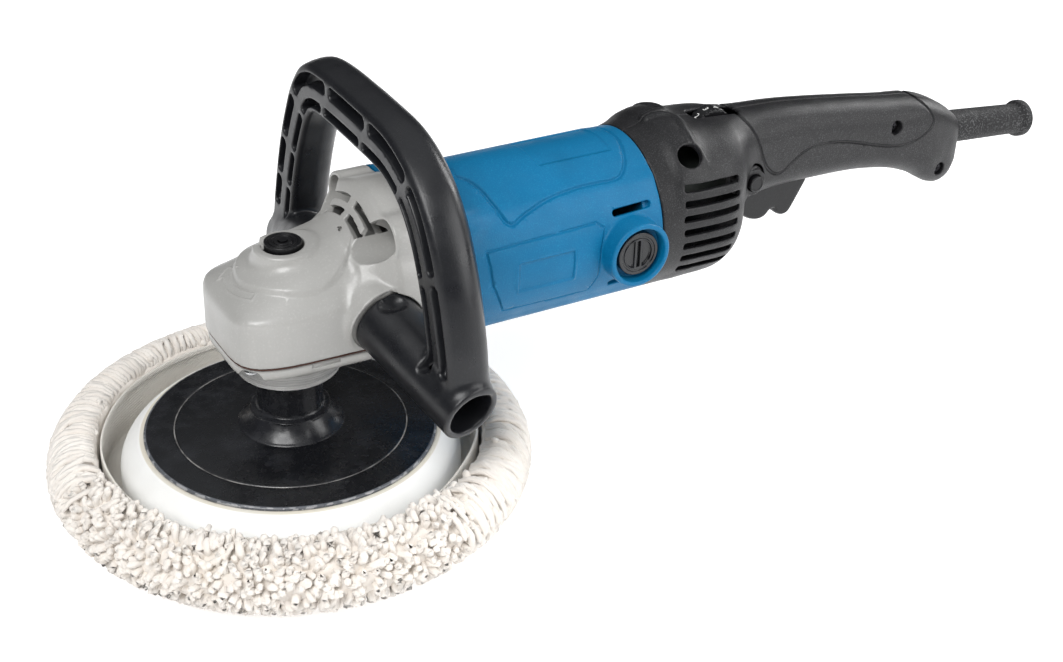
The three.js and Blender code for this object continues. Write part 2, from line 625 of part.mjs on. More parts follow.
function buildStator() {
  const poles = meet(tubeX(CORE_X0, CORE_X1, CORE_R + 1, 38, 48), box(90, 160, -11, 11, 60, 190));
  piece('stator_core', join(tubeX(CORE_X0, CORE_X1, 35, 41.8, 56), poles), LAMINATION);
  const coil = cut(
    box(88, 157, -17.5, 17.5, MOTOR_Z + 25.2, MOTOR_Z + 29),
    box(CORE_X0 - GAP, CORE_X1 + GAP, -11.3, 11.3, MOTOR_Z + 20, MOTOR_Z + 35));
  piece('field_coil_upper', coil, COPPER);
  piece('field_coil_lower', coil.translate([0, 0, -MOTOR_Z]).mirror([0, 0, 1]).translate([0, 0, MOTOR_Z]), COPPER);
  piece('air_baffle', tubeX(81.5, 83.5, 26, 35.5, 48), BLACK);
  piece('front_motor_bearing', tubeX(46.4, 56, SHAFT_R + GAP, 14, 32), STEEL);
  piece('rear_motor_bearing', tubeX(190.9, 198.9, 4.3, 11, 32), STEEL);
}

function buildMotorHousing() {
  const inner = MOTOR_R - MOTOR_WALL;
  let body = join(
    rodX(MOTOR_X0, MOTOR_X1, MOTOR_R, 72),
    rodY(BRUSH_X, MOTOR_Z, -56.3, 56.3, BRUSH_BOSS_R, 40),
    ...FLANGE_SCREWS.map(([y, z]) => rod([MOTOR_X0, y, z], [98, y, z], LOBE_R, 5, 32)));
  body = cut(body, rodX(MOTOR_X0 - 1, MOTOR_X1 + 1, inner, 64));
  let web = rodX(189.6, MOTOR_X1, inner + 1, 48);
  for (let k = 0; k < 6; k++) {
    const a = (Math.PI * k) / 3;
    web = cut(web, rodX(185, 205, 8, 20, 27 * Math.cos(a), MOTOR_Z + 27 * Math.sin(a)));
  }
  web = cut(web, rodX(190.6, 205, 11.3, 32), rodX(185, 205, 8.5, 28));
  body = join(body, web);
  const bossAt = (x0, x1, [y, z]) => meet(rodX(x0, x1, 4.6, 16, y, z), rodX(MOTOR_X0, MOTOR_X1, inner + 1, 48));
  for (const spot of FLANGE_SCREWS) body = join(body, bossAt(MOTOR_X0, 82, spot));
  for (const spot of REAR_SCREWS) body = join(body, bossAt(180, MOTOR_X1, spot));
  for (const [y, z] of FLANGE_SCREWS) body = cut(body, rodX(60, 81, 2.5, 16, y, z));
  for (const [y, z] of REAR_SCREWS) body = cut(body, rodX(183, 202, 2.1, 16, y, z));
  for (const side of [-1, 1]) {
    body = cut(body,
      rodY(BRUSH_X, MOTOR_Z, side * 48.5, side * 60, BRUSH_CAP_R + 0.4, 36),
      box(BRUSH_X - 6.1, BRUSH_X + 6.1, Math.min(side * 30, side * 50), Math.max(side * 30, side * 50),
        MOTOR_Z - 4.6, MOTOR_Z + 4.6),
      box(164, 187, Math.min(side * 38, side * 50), Math.max(side * 38, side * 50), 151, 154.6)
        .subtract(tubeX(100, 200, 0.1, MOTOR_R - 1.4, 64)));
  }
  piece('motor_housing', body, BLUE);

  const tube = cut(
    box(BRUSH_X - 5.8, BRUSH_X + 5.8, -47.5, -16.5, MOTOR_Z - 4.3, MOTOR_Z + 4.3),
    box(BRUSH_X - 4.8, BRUSH_X + 4.8, -46, -10, MOTOR_Z - 3.3, MOTOR_Z + 3.3));
  pair('brush_holder', tube, BRASS);
  pair('carbon_brush', box(BRUSH_X - 4.5, BRUSH_X + 4.5, -31, -13.9, MOTOR_Z - 3, MOTOR_Z + 3), CARBON);
  const cap = cut(
    rodY(BRUSH_X, MOTOR_Z, -55.2, -49, BRUSH_CAP_R, 36),
    box(BRUSH_X - 1.2, BRUSH_X + 1.2, -56, -53.2, MOTOR_Z - 10, MOTOR_Z + 10));
  pair('brush_cap', cap, GLOSS_BLACK);
}

// ---------------------------------------------------------------- rear housing and grip
const REAR_SCREWS = [[-22, MOTOR_Z + 33], [22, MOTOR_Z + 33]];
const GRIP = [
  [199.7, 79.4, 171.4, MOTOR_R, 46, 46],
  [210, 79.4, 175, 46, 44, 46],
  [222, 79.6, 177.5, 46, 42, 45],
  [234, 79.8, 175.5, 45.6, 40, 44],
  [246, 81.5, 172.6, 44, 36, 40],
  [256, 86.5, 171.8, 39.5, 32, 34],
  [263, 98, 171.2, 32.5, 27, 26],
  [269, 112, 170.8, 26.5, 22, 18],
  [278, 119.5, 170.4, 22, 19, 12],
  [300, 121, 169.4, 19.5, 17, 12],
  [326, 119.6, 166.8, 18.2, 16, 13],
  [355, 118.6, 163, 17.6, 16, 13],
  [384, 114.6, 158.4, 17.6, 16, 13],
  [404, 107.6, 156, 17.8, 15, 13],
  [416, 100.6, 152.6, 17.4, 14, 12],
  [427, 95.6, 147.4, 16, 13, 11],
  [434.5, 96.6, 142.4, 14.2, 12, 10],
  [GRIP_REAR_X, 104, 137.4, 11.6, 9, 9],
];
const GRIP_SCREWS = [[384, 144], [425, 108.5]];

function buildGrip() {
  const outer = loftX(GRIP);
  const inside = GRIP.slice(0, -1).map((s, i) => (i === 0 ? [190, ...s.slice(1)] : s));
  const last = inside[inside.length - 1];
  last[0] = GRIP_REAR_X - SHELL_WALL - 1.5;
  const inner = loftX(inside, SHELL_WALL);
  let body = cut(outer, inner);

  const bosses = GRIP_SCREWS.map(([x, z]) => rodY(x, z, -20, 20, 5.4, 20));
  bosses.push(cut(rodY(...TRIGGER_PIVOT, -22, 22, 3.6, 16), box(270, 290, -TRIGGER_HALF - 0.5, TRIGGER_HALF + 0.5, 110, 140)));
  for (const [y, z] of REAR_SCREWS) bosses.push(rodX(200, 212, 5.6, 16, y, z));
  bosses.forEach((boss) => {
    body = join(body, meet(boss, outer));
  });
  body = join(body, cut(rodY(...LOCK_ON, -25.6, -18, 7.6, 24), inner));

  const bootAxis = [BOOT_START, BOOT_END].map(([x, z]) => [x, 0, z]);
  const tools = [
    rod(bootAxis[0], bootAxis[1], 10.9, 10.9, 32),
    rodY(...LOCK_ON, -30, -15, 4.9, 24),
    box(275, 330.5, -TRIGGER_HALF - 0.5, TRIGGER_HALF + 0.5, 100, 126),
    box(DIAL_AXIS[0] - 13.2, DIAL_AXIS[0] + 13.2, -5.3, 5.3, 160, 185),
    rodY(...TRIGGER_PIVOT, -13, 13, 1.8, 16),
  ];
  for (let k = 0; k < 7; k++) {
    const z = 149.5 - 8.3 * k;
    tools.push(cut(box(216, 251, -60, 60, z - 1.6, z + 1.6), box(200, 270, -30, 30, 60, 200)));
  }
  for (const [x, z] of GRIP_SCREWS) {
    tools.push(rodY(x, z, -25, 14, 1.9, 16), rodY(x, z, -25, -11.5, 3.9, 20));
  }
  for (const [y, z] of REAR_SCREWS) {
    tools.push(rodX(199, 215, 2.1, 16, y, z), rodX(204.5, 226, 4.2, 20, y, z));
    tools.push(rod([213, y, z], [224, y * 2.2, z + 12], 4.2, 4.2, 20));
  }
  body = cut(body, ...tools);
  piece('handle_shell_right', cut(body, box(150, 500, -0.15, 80, 50, 220)), BLACK);
  piece('handle_shell_left', cut(body, box(150, 500, -80, 0.15, 50, 220)), BLACK);

  GRIP_SCREWS.forEach(([x, z], i) => {
    const screw = join(rodY(x, z, -14.2, -11.8, 3.6, 18), rodY(x, z, -12, 13.5, 1.6, 12));
    const name = i === 0 ? 'handle_screw_front' : 'handle_screw_rear';
    piece(name, cut(screw, box(x - 2, x + 2, -15, -13.3, z - 0.4, z + 0.4)), DARK_STEEL);
  });
  const [y, z] = REAR_SCREWS[0];
  pair('rear_screw', join(rodX(204.8, 207.4, 3.7, 18, y, z), rodX(184, 205, 1.8, 12, y, z)), DARK_STEEL);
}

function buildControls() {
  const [px, pz] = TRIGGER_PIVOT;
  const outline = [
    [276.2, 118], [278.5, 109.5], [283, 104], [288.5, 100.4], [294, 99], [299, 100], [303, 103.6],
    [307, 100.2], [312, 98], [316.5, 99.4], [320, 104.5], [324.5, 112.5], [328, 118.5], [328.4, 122.4],
    [292, 127.6], [286, 131], [280, 132], [277, 129],
  ];
  piece('trigger', cut(sidePlate(outline, -TRIGGER_HALF, TRIGGER_HALF), rodY(px, pz, -12, 12, 1.8, 16)), BLACK);
  piece('trigger_pin', rodY(px, pz, -12.6, 12.6, 1.5, 16), STEEL);
  piece('switch_body', box(292, 336, -9, 9, 134, 154), POTTING);
  piece('lock_on_button', join(
    rodY(...LOCK_ON, -28.6, -17, 4.6, 24), rodY(...LOCK_ON, -18, -15.5, 5.6, 24)), GLOSS_BLACK);

  let dial = rodY(...DIAL_AXIS, -4.6, 4.6, DIAL_R, 40);
  for (let k = 0; k < 14; k++) {
    const a = (Math.PI * k) / 7;
    const notch = rodY(DIAL_AXIS[0] + (DIAL_R + 0.4) * Math.cos(a), DIAL_AXIS[1] + (DIAL_R + 0.4) * Math.sin(a), -6, 6, 1.2, 6);
    dial = cut(dial, notch);
  }
  piece('speed_dial', join(dial, rodY(...DIAL_AXIS, -7, 7, 2.5, 16)), BLACK);
  piece('speed_controller', box(226, 262, -15, 15, 132, 147), POTTING);

  const dir = [BOOT_END[0] - BOOT_START[0], BOOT_END[1] - BOOT_START[1]];
  const length = Math.hypot(...dir);
  const bootAt = (d) => [BOOT_START[0] + (dir[0] * d) / length, 0, BOOT_START[1] + (dir[1] * d) / length];
  const boot = cut(join(
    rod(bootAt(0), bootAt(4.5), 11.2, 11.2, 32), rod(bootAt(4), bootAt(70), 10.2, 9.4, 32),
    rod(bootAt(69), bootAt(71.4), 9.4, 11.2, 32), rod(bootAt(71.4), bootAt(length - 1.4), 11.2, 11.5, 32),
    rod(bootAt(length - 1.4), bootAt(length), 11.5, 10.4, 32)),
  rod(bootAt(-2), bootAt(length + 2), BOOT_BORE, BOOT_BORE, 24));
  piece('cord_boot', boot, RUBBER);
  piece('cord_clamp', cut(box(408, 418, -10, 10, 117, 126), rodX(400, 425, 4.2, 20, 0, 129.4)), BLACK);
}

buildPad();
buildGears();
buildSpindle();
buildGearHead();
buildLoopHandle();
buildArmature();
buildStator();
buildMotorHousing();
buildGrip();
buildControls();

export default polisher;
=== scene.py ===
"""Looks of the rotary polisher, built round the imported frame.

Shapes are worked out in millimetres and written in metres.
"""

import math

import bpy
import numpy as np
import openvdb
from mathutils import Matrix, Vector

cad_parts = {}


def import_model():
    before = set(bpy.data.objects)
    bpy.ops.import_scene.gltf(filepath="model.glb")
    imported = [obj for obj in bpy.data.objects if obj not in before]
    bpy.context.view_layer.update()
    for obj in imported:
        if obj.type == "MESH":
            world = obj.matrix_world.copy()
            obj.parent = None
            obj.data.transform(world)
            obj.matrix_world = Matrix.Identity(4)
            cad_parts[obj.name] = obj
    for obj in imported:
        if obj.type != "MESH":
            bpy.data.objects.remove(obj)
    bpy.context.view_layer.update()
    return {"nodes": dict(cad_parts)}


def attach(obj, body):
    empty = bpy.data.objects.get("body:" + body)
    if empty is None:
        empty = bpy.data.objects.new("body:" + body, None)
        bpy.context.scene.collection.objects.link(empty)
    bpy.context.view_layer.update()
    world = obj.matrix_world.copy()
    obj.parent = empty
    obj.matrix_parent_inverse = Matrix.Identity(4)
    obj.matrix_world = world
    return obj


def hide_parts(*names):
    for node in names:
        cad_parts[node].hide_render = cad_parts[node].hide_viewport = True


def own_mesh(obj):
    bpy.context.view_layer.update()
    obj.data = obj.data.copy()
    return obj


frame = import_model()

MM = 0.001
COARSER = 1.0
AXIS = 125.4  # height of the motor axis
PARTING = 100.0  # height of the gear head's lower face
MOTOR_R = 46.0
SHELL_BORE_R = 42.3
BRUSH_X = 178.8  # the brushes' place along the motor
VENT_ROWS = ((34.2, 31.8), (38.4, 38.2))  # x and radius of the two rows of air slots
VENT_RISE = 1.52  # how fast the neck widens there
RING_LINE_R = 61.0  # worn line on the backing disc
CUP_R = 99.4  # canvas wall of the bonnet


# ---- curves and tables
def spline(points, steps=12, closed=False):
    """Catmull-Rom curve through points, steps for each span."""
    p = np.array(points, float)
    n = len(p)
    out = []
    t = np.arange(steps)[:, None] / steps
    for i in range(n if closed else n - 1):
        a, b, c, d = p[[(i + k) % n if closed else min(max(i + k, 0), n - 1) for k in (-1, 0, 1, 2)]]
        bend = (2 * a - 5 * b + 4 * c - d) * t**2
        out.append(0.5 * (2 * b + (c - a) * t + bend + (3 * b - a - 3 * c + d) * t**3))
    if not closed:
        out.append(p[-1:])
    return np.vstack(out)


def smooth_table(rows):
    """Rows keyed by their first column, filled in every half millimetre without overshoot."""
    rows = np.array(rows, float)
    x = rows[:, 0]
    h = np.diff(x)[:, None]
    slope = np.diff(rows, axis=0) / h
    m = np.zeros_like(rows)
    m[0], m[-1] = slope[0], slope[-1]
    w1, w2 = 2 * h[1:] + h[:-1], h[1:] + 2 * h[:-1]
    a, b = slope[:-1], slope[1:]
    same = a * b > 0
    m[1:-1][same] = ((w1 + w2) / (w1 / np.where(same, a, 1) + w2 / np.where(same, b, 1)))[same]
    at = np.arange(x[0], x[-1] + 0.25, 0.5)
    k = np.clip(np.searchsorted(x, at, side="right") - 1, 0, len(x) - 2)
    t = ((at - x[k]) / h[k, 0])[:, None]
    out = (
        (2 * t**3 - 3 * t**2 + 1) * rows[k]
        + (t**3 - 2 * t**2 + t) * h[k] * m[k]
        + (3 * t**2 - 2 * t**3) * rows[k + 1]
        + (t**3 - t**2) * h[k] * m[k + 1]
    )
    out[:, 0] = at
    return out


def bilinear(grid, i, j):
    """Value of a grid between its points, at fractional indices."""
    a, b = i.astype(int), j.astype(int)
    i, j = i - a, j - b
    low = grid[a, b] * (1 - i) + grid[a + 1, b] * i
    high = grid[a, b + 1] * (1 - i) + grid[a + 1, b + 1] * i
    return low * (1 - j) + high * j


class Stencil:
    """Distance to outlines drawn in a plane, kept on a grid. Closed outlines are negative inside."""

    def __init__(self, shapes, closed=True, step=0.4, pad=7):
        shapes = [np.array(s, float) for s in shapes]
        points = np.vstack(shapes)
        self.lo, self.step = points.min(0) - pad, step
        self.n = np.ceil((points.max(0) + pad - self.lo) / step).astype(int) + 1
        u, v = np.meshgrid(*(self.lo[k] + step * np.arange(self.n[k]) for k in (0, 1)), indexing="ij")
        best = np.full(u.shape, 1e9)
        inside = np.zeros(u.shape, bool)
        for s in shapes:
            ends = np.roll(s, -1, 0) if closed else s[1:]
            for a, b in zip(s, ends):
                du, dv = b - a
                t = np.clip(((u - a[0]) * du + (v - a[1]) * dv) / max(du * du + dv * dv, 1e-12), 0, 1)
                best = np.minimum(best, (u - a[0] - t * du) ** 2 + (v - a[1] - t * dv) ** 2)
                if closed and dv:
                    inside ^= ((a[1] > v) != (b[1] > v)) & (u < du * (v - a[1]) / dv + a[0])
        self.d = np.where(inside, -1, 1) * np.sqrt(best)

    def __call__(self, u, v):
        at = (np.clip((w - self.lo[k]) / self.step, 0, self.n[k] - 1.001) for k, w in enumerate((u, v)))
        return bilinear(self.d, *at)


# ---- distance fields
def smax(a, b, k=1.0):
    return np.maximum(a, b) + np.maximum(k - np.abs(a - b), 0) ** 2 / (4 * k)


def smin(a, b, k=1.0):
    return np.minimum(a, b) - np.maximum(k - np.abs(a - b), 0) ** 2 / (4 * k)


def cut(a, b, k=0.8):
    return smax(a, -b, k)


def slab(v, lo, hi):
    return np.maximum(lo - v, v - hi)


def rounded(u, v, r):
    """Distance to a corner of radius r, from the offsets past its centre."""
    return np.hypot(np.maximum(u, 0), np.maximum(v, 0)) + np.minimum(np.maximum(u, v), 0) - r


def rect(u, v, hu, hv, r):
    """Rounded rectangle about the origin."""
    return rounded(np.abs(u) - hu + r, np.abs(v) - hv + r, r)


def rod(x, y, z, a, b, r0, r1=None, k=0.8):
    """Round bar or cone from a to b with softened ends."""
    a, b = np.array(a, float), np.array(b, float)
    length = np.linalg.norm(b - a)
    d = (b - a) / length
    px, py, pz = x - a[0], y - a[1], z - a[2]
    t = px * d[0] + py * d[1] + pz * d[2]
    away = np.sqrt(np.maximum((px - t * d[0]) ** 2 + (py - t * d[1]) ** 2 + (pz - t * d[2]) ** 2, 1e-12))
    r1 = r0 if r1 is None else r1
    return smax(away - (r0 + (r1 - r0) * np.clip(t / length, -0.2, 1.2)), slab(t, 0, length), k)


def loft(table, x, y, z):
    """Rounded sections along X, from rows of x, low, high, half width, upper corner, lower corner."""
    low, high, half, upper, lower = (np.interp(x, table[:, 0], table[:, k]) for k in range(1, 6))
    mid, tall = (low + high) / 2, (high - low) / 2
    r = np.minimum(np.where(z > mid, upper, lower), np.minimum(half, tall) - 0.01)
    return rounded(np.abs(y) - half + r, np.abs(z - mid) - tall + r, r)


def step(d, width):
    """1 where d is well below zero, 0 where it is well above, with a smooth edge of that width."""
    t = np.clip(0.5 - d / width, 0, 1)
    return t * t * (3 - 2 * t)


def groove(d, width):
    """Round-bottomed groove of that width about d = 0, from 0 to 1."""
    return np.maximum(1 - (2 * d / width) ** 2, 0)


def gradient(field, p, e):
    g = np.empty_like(p)
    for k in range(3):
        a, b = p.copy(), p.copy()
        a[:, k] -= e
        b[:, k] += e
        g[:, k] = (field(*b.T) - field(*a.T)) / (2 * e)
    return g


BLOCK = 4  # voxels along a block
CHUNK = 300000  # points worked out at a time


def in_chunks(field, p):
    return np.concatenate([field(*p[i : i + CHUNK].T) for i in range(0, len(p), CHUNK)])


def carve(name, field, lo, hi, voxel=0.6, adapt=0.03):
    """Meshes the zero surface of a distance field in millimetres."""
    h = voxel * COARSER
    wide = 3 * h  # how far the sampled distance is kept
    lo = np.array(lo, float)
    n = np.ceil((np.array(hi) - lo) / (h * BLOCK)).astype(int)
    corner = np.stack(np.meshgrid(*(np.arange(k) for k in n), indexing="ij"), -1)
    centre = lo + (corner * BLOCK + (BLOCK - 1) / 2) * h
    coarse = in_chunks(field, centre.reshape(-1, 3)).reshape(n)
    dense = np.empty((n[0], BLOCK, n[1], BLOCK, n[2], BLOCK), np.float32)
    dense[:] = (np.sign(coarse) * wide)[:, None, :, None, :, None]
    i, j, k = np.nonzero(np.abs(coarse) < 1.35 * BLOCK * h + 0.4)
    cell = np.stack(np.meshgrid(*[np.arange(BLOCK)] * 3, indexing="ij"), -1).reshape(-1, 3)
    base = np.stack([i, j, k], -1)[:, None, :] * BLOCK
    points = (lo + (base + cell) * h).reshape(-1, 3)
    dense[i, :, j, :, k, :] = in_chunks(field, points).reshape(-1, BLOCK, BLOCK, BLOCK)
    values = np.clip(dense.reshape(n * BLOCK), -wide, wide)
    values[[0, -1]] = values[:, [0, -1]] = values[:, :, [0, -1]] = wide
    grid = openvdb.FloatGrid(float(wide))
    grid.copyFromArray(np.ascontiguousarray(values))
    verts, tris, quads = grid.convertToPolygons(isovalue=0.0, adaptivity=adapt)
    verts = lo + verts.astype(float) * h
    for _ in range(3):
        g = gradient(field, verts, 0.12)
        away = field(*verts.T) / np.maximum((g**2).sum(1), 0.3)
        verts -= g * np.clip(away, -0.5 * h, 0.5 * h)[:, None]
    normals = unit(gradient(field, verts, 0.22))
    faces = quads if len(quads) else tris
    a, b, c = (verts[faces[:, m]] for m in (0, 1, 2))
    if (np.cross(b - a, c - a) * normals[faces[:, 0]]).sum() < 0:
        tris, quads = tris[:, ::-1], quads[:, ::-1]
    obj = build_mesh(name, verts, tris.tolist() + quads.tolist())
    if len(obj.data.vertices) == len(normals):
        obj.data.normals_split_custom_set_from_vertices(normals.tolist())
    return obj


def place(name, mesh):
    obj = bpy.data.objects.new(name, mesh)
    bpy.context.scene.collection.objects.link(obj)
    return obj


def build_mesh(name, verts, faces, uvs=None):
    """Smooth mesh from millimetre points. uvs holds one pair for each vertex."""
    mesh = bpy.data.meshes.new(name)
    mesh.from_pydata((np.asarray(verts, float) * MM).tolist(), [], faces)
    mesh.polygons.foreach_set("use_smooth", [True] * len(mesh.polygons))
    if uvs is not None:
        layer = mesh.uv_layers.new(name="UVMap")
        index = np.zeros(len(mesh.loops), int)
        mesh.loops.foreach_get("vertex_index", index)
        layer.data.foreach_set("uv", np.asarray(uvs, np.float32)[index].ravel())
    mesh.validate()
    return place(name, mesh)


def unit(v):
    return v / np.maximum(np.linalg.norm(v, axis=-1), 1e-9)[..., None]


def lengths(path):
    """Length along a path at each of its points."""
    return np.r_[0, np.cumsum(np.linalg.norm(np.diff(path, axis=0), axis=1))]


def polar(r, a, z):
    return np.stack([r * np.cos(a), r * np.sin(a), z], -1)


def circle(count):
    """Angles of that many points round a circle."""
    return 2 * np.pi * np.arange(count) / count


def grid_faces(rows, columns, closed=False):
    """Quads between rows of points. A closed grid joins its last column to its first."""
    return [
        tuple(r * columns + c % columns for r, c in ((i, j), (i + 1, j), (i + 1, j + 1), (i, j + 1)))
        for i in range(rows - 1) for j in range(columns if closed else columns - 1)
    ]


def aim(obj, direction, at):
    """Turns a mesh that was built along +Z towards direction, and moves it to a point."""
    obj.data.transform(Vector((0, 0, 1)).rotation_difference(Vector(direction)).to_matrix().to_4x4())
    obj.data.transform(Matrix.Translation(Vector(at) * MM))
    return obj


def lathe(name, profile, segments=192, axis=(0, 0, 1), start=(0, 0, 0), sharp=35):
    """Turns (radius, height) points about the axis through start. The ends close on the axis."""
    verts, rings, faces = [], [], []
    for r, h in profile:
        ring = [(0, 0, h)] if r < 1e-6 else [(r * math.cos(a), r * math.sin(a), h) for a in circle(segments)]
        rings.append(range(len(verts), len(verts) + len(ring)))
        verts += ring
    for p, q in zip(rings, rings[1:]):
        for i in range(segments):
            j = (i + 1) % segments
            if len(p) == 1 and len(q) > 1:
                faces.append((p[0], q[j], q[i]))
            elif len(q) == 1 and len(p) > 1:
                faces.append((p[i], p[j], q[0]))
            elif len(p) > 1:
                faces.append((p[i], p[j], q[j], q[i]))
    obj = aim(build_mesh(name, verts, faces), axis, start)
    obj.data.set_sharp_from_angle(angle=math.radians(sharp))
    return obj


# ---- materials
class Look:
    """A procedural material. Scales are features for each metre, depths are in millimetres."""

    def __init__(self, name, color, rough, metal=0.0, spec=0.5, coat=0.0, sheen=0.0):
        self.mat = bpy.data.materials.new(name)
        self.mat.use_nodes = True
        self.tree = self.mat.node_tree
        self.bsdf = self.tree.nodes["Principled BSDF"]
        self.coord = self.tree.nodes.new("ShaderNodeTexCoord")
        self.color_now = self.normal_now = None
        self.name, self.color = name, color
        for socket, value in (
            ("Base Color", (*color, 1)), ("Roughness", rough), ("Metallic", metal), ("Specular IOR Level", spec),
            ("Coat Weight", coat), ("Sheen Weight", sheen),
        ):
            self.bsdf.inputs[socket].default_value = value

    def node(self, kind, inputs=None, **settings):
        n = self.tree.nodes.new(kind)
        for k, v in settings.items():
            setattr(n, k, v)
        for k, v in (inputs or {}).items():
            if isinstance(v, bpy.types.NodeSocket):
                self.tree.links.new(v, n.inputs[k])
            else:
                n.inputs[k].default_value = v
        return n

    def noise(self, scale, detail, stretch=None):
        vector = self.coord.outputs["Object"]
        if stretch:
            vector = self.node("ShaderNodeMapping", {"Vector": vector, "Scale": stretch}).outputs["Vector"]
        return self.node("ShaderNodeTexNoise", {"Vector": vector, "Scale": scale, "Detail": detail}).outputs["Fac"]

    def band(self, value, low, high, to_low=0.0, to_high=1.0):
        return self.node(
            "ShaderNodeMapRange",
            {"Value": value, "From Min": low, "From Max": high, "To Min": to_low, "To Max": to_high},
        ).outputs["Result"]

    def math(self, kind, a, b=0.0):
        return self.node("ShaderNodeMath", {0: a, 1: b}, operation=kind).outputs[0]

    def product(self, a, b):
        return self.math("MULTIPLY", a, b)

    def length(self, a, b):
        return self.math("SQRT", self.math("ADD", self.product(a, a), self.product(b, b)))

    def spot(self):
        """Object coordinates in millimetres."""
        split = self.node("ShaderNodeSeparateXYZ", {"Vector": self.coord.outputs["Object"]})
        return [self.product(split.outputs[k], 1 / MM) for k in "XYZ"]

    def tint(self, color, mask):
        """Blends towards color where mask is 1."""
        mix = self.node("ShaderNodeMix", {"Factor": mask}, data_type="RGBA")
        if self.color_now is None:
            mix.inputs["A"].default_value = (*self.color, 1)
        else:
            self.tree.links.new(self.color_now, mix.inputs["A"])
        mix.inputs["B"].default_value = (*color, 1)
        self.color_now = mix.outputs["Result"]
        self.tree.links.new(self.color_now, self.bsdf.inputs["Base Color"])
        return self

    def roughen(self, value, low, high, to_low, to_high):
        self.tree.links.new(self.band(value, low, high, to_low, to_high), self.bsdf.inputs["Roughness"])
        return self

    def bump(self, height, depth, strength=1.0):
        bump = self.node("ShaderNodeBump", {"Height": height, "Distance": depth * MM, "Strength": strength})
        if self.normal_now is not None:
            self.tree.links.new(self.normal_now, bump.inputs["Normal"])
        self.normal_now = bump.outputs["Normal"]
        self.tree.links.new(self.normal_now, self.bsdf.inputs["Normal"])
        return self


def moulded(name, color, light, rough, grain, depth, spec=0.5, speckle=0.5):
    """Spark-textured plastic: fine grain, depth deep, with a light fleck and slow changes in tone."""
    look = Look(name, color, rough, spec=spec)
    fine = look.noise(grain, 2.0)
    look.tint(light, look.band(fine, 0.52, 0.72, 0, speckle))
    look.tint(tuple(c * 0.75 for c in color), look.band(look.noise(38, 3), 0.4, 0.75, 0, 0.5))
    look.roughen(look.noise(90, 3), 0.3, 0.7, rough - 0.07, rough + 0.07)
    look.bump(fine, depth)
    return look


def painted():
    """Light grey paint on the castings, with painted shade: the inside of the neck's air slots is tinted near black.
    """
    look = Look("painted_cast", (0.37, 0.366, 0.352), 0.34, spec=0.6, coat=0.15)
    look.tint((0.28, 0.276, 0.262), look.band(look.noise(24, 4), 0.42, 0.75, 0, 0.45))
    look.tint((0.47, 0.466, 0.45), look.band(look.noise(900, 2), 0.55, 0.75, 0, 0.4))
    x, y, z = look.spot()
    z = look.math("SUBTRACT", z, AXIS)
    row_x, row_r = VENT_ROWS[0]
    skin = look.math("ADD", look.product(look.math("SUBTRACT", x, row_x), VENT_RISE), row_r)
    inside = look.band(look.math("SUBTRACT", look.length(y, z), skin), -1.2, -2.8)
    span = look.product(look.band(x, 29, 31), look.band(x, 42.6, 41.8))
    crown = look.math("SUBTRACT", z, look.product(look.math("ABSOLUTE", y), 1.48))
    span = look.product(span, look.band(crown, -0.3, 0.3))
    # painted shade: tints the inside of the air slots near black
    look.tint((0.045, 0.045, 0.043), look.product(look.product(inside, span), 0.92))
    look.roughen(look.noise(60, 4), 0.3, 0.7, 0.3, 0.44)
    look.bump(look.noise(650, 3), 0.05).bump(look.noise(60, 2), 0.12)
    return look


def brushed(name, color, rough, turned=False, metal=1.0):
    look = Look(name, color, rough, metal=metal)
    lines = look.noise(900, 2, stretch=(0.05, 0.05, 6) if turned else (0.1, 1, 1))
    look.tint(tuple(c * 0.6 for c in color), look.band(look.noise(50, 4), 0.45, 0.8, 0, 0.5))
    look.roughen(lines, 0.3, 0.7, rough * 0.7, rough * 1.3)
    look.bump(lines, 0.03)
    return look


def cloth(name, color, dark):
    """Plain weave over the UV map, whose unit is a thread pair."""
    look = Look(name, color, 0.95, spec=0.2, sheen=0.3)
    uv = look.node("ShaderNodeSeparateXYZ", {"Vector": look.coord.outputs["UV"]})
    weave = look.product(*(look.math("SINE", look.product(uv.outputs[k], 2 * math.pi)) for k in "XY"))
    look.tint(dark, look.band(weave, -0.2, -1, 0, 0.55))
    look.tint(dark, look.band(look.noise(45, 4), 0.5, 0.8, 0, 0.6))
    look.bump(weave, 0.25).bump(look.noise(1500, 3), 0.15)
    return look


def yarn():
    look = Look("wool_yarn", (0.79, 0.74, 0.685), 0.95, spec=0.05, sheen=0.3)
    tip, shade = (look.node("ShaderNodeAttribute", attribute_name=k).outputs["Fac"] for k in ("tip", "shade"))
    # painted highlight on the backing, where the shade attribute follows the tops of its tufts; on the strands it is
    # a random tone for each strand
    look.tint((0.85, 0.81, 0.76), look.band(shade, 0.3, 1.0, 0, 0.9))
    # painted shade: tan towards the strands' roots and in the gaps between the backing's tufts, where the tip
    # attribute is low
    look.tint((0.84, 0.74, 0.62), look.band(tip, 0.5, 0.05, 0, 0.7))
    look.tint((0.76, 0.68, 0.575), look.band(look.noise(38, 4), 0.56, 0.76, 0, 0.3))
    uv = look.node("ShaderNodeSeparateXYZ", {"Vector": look.coord.outputs["UV"]})
    twist = look.math("SINE", look.product(look.math("ADD", uv.outputs["X"], uv.outputs["Y"]), 4 * math.pi))
    look.bump(twist, 0.15, 0.4).bump(look.noise(2500, 4), 0.2)
    return look


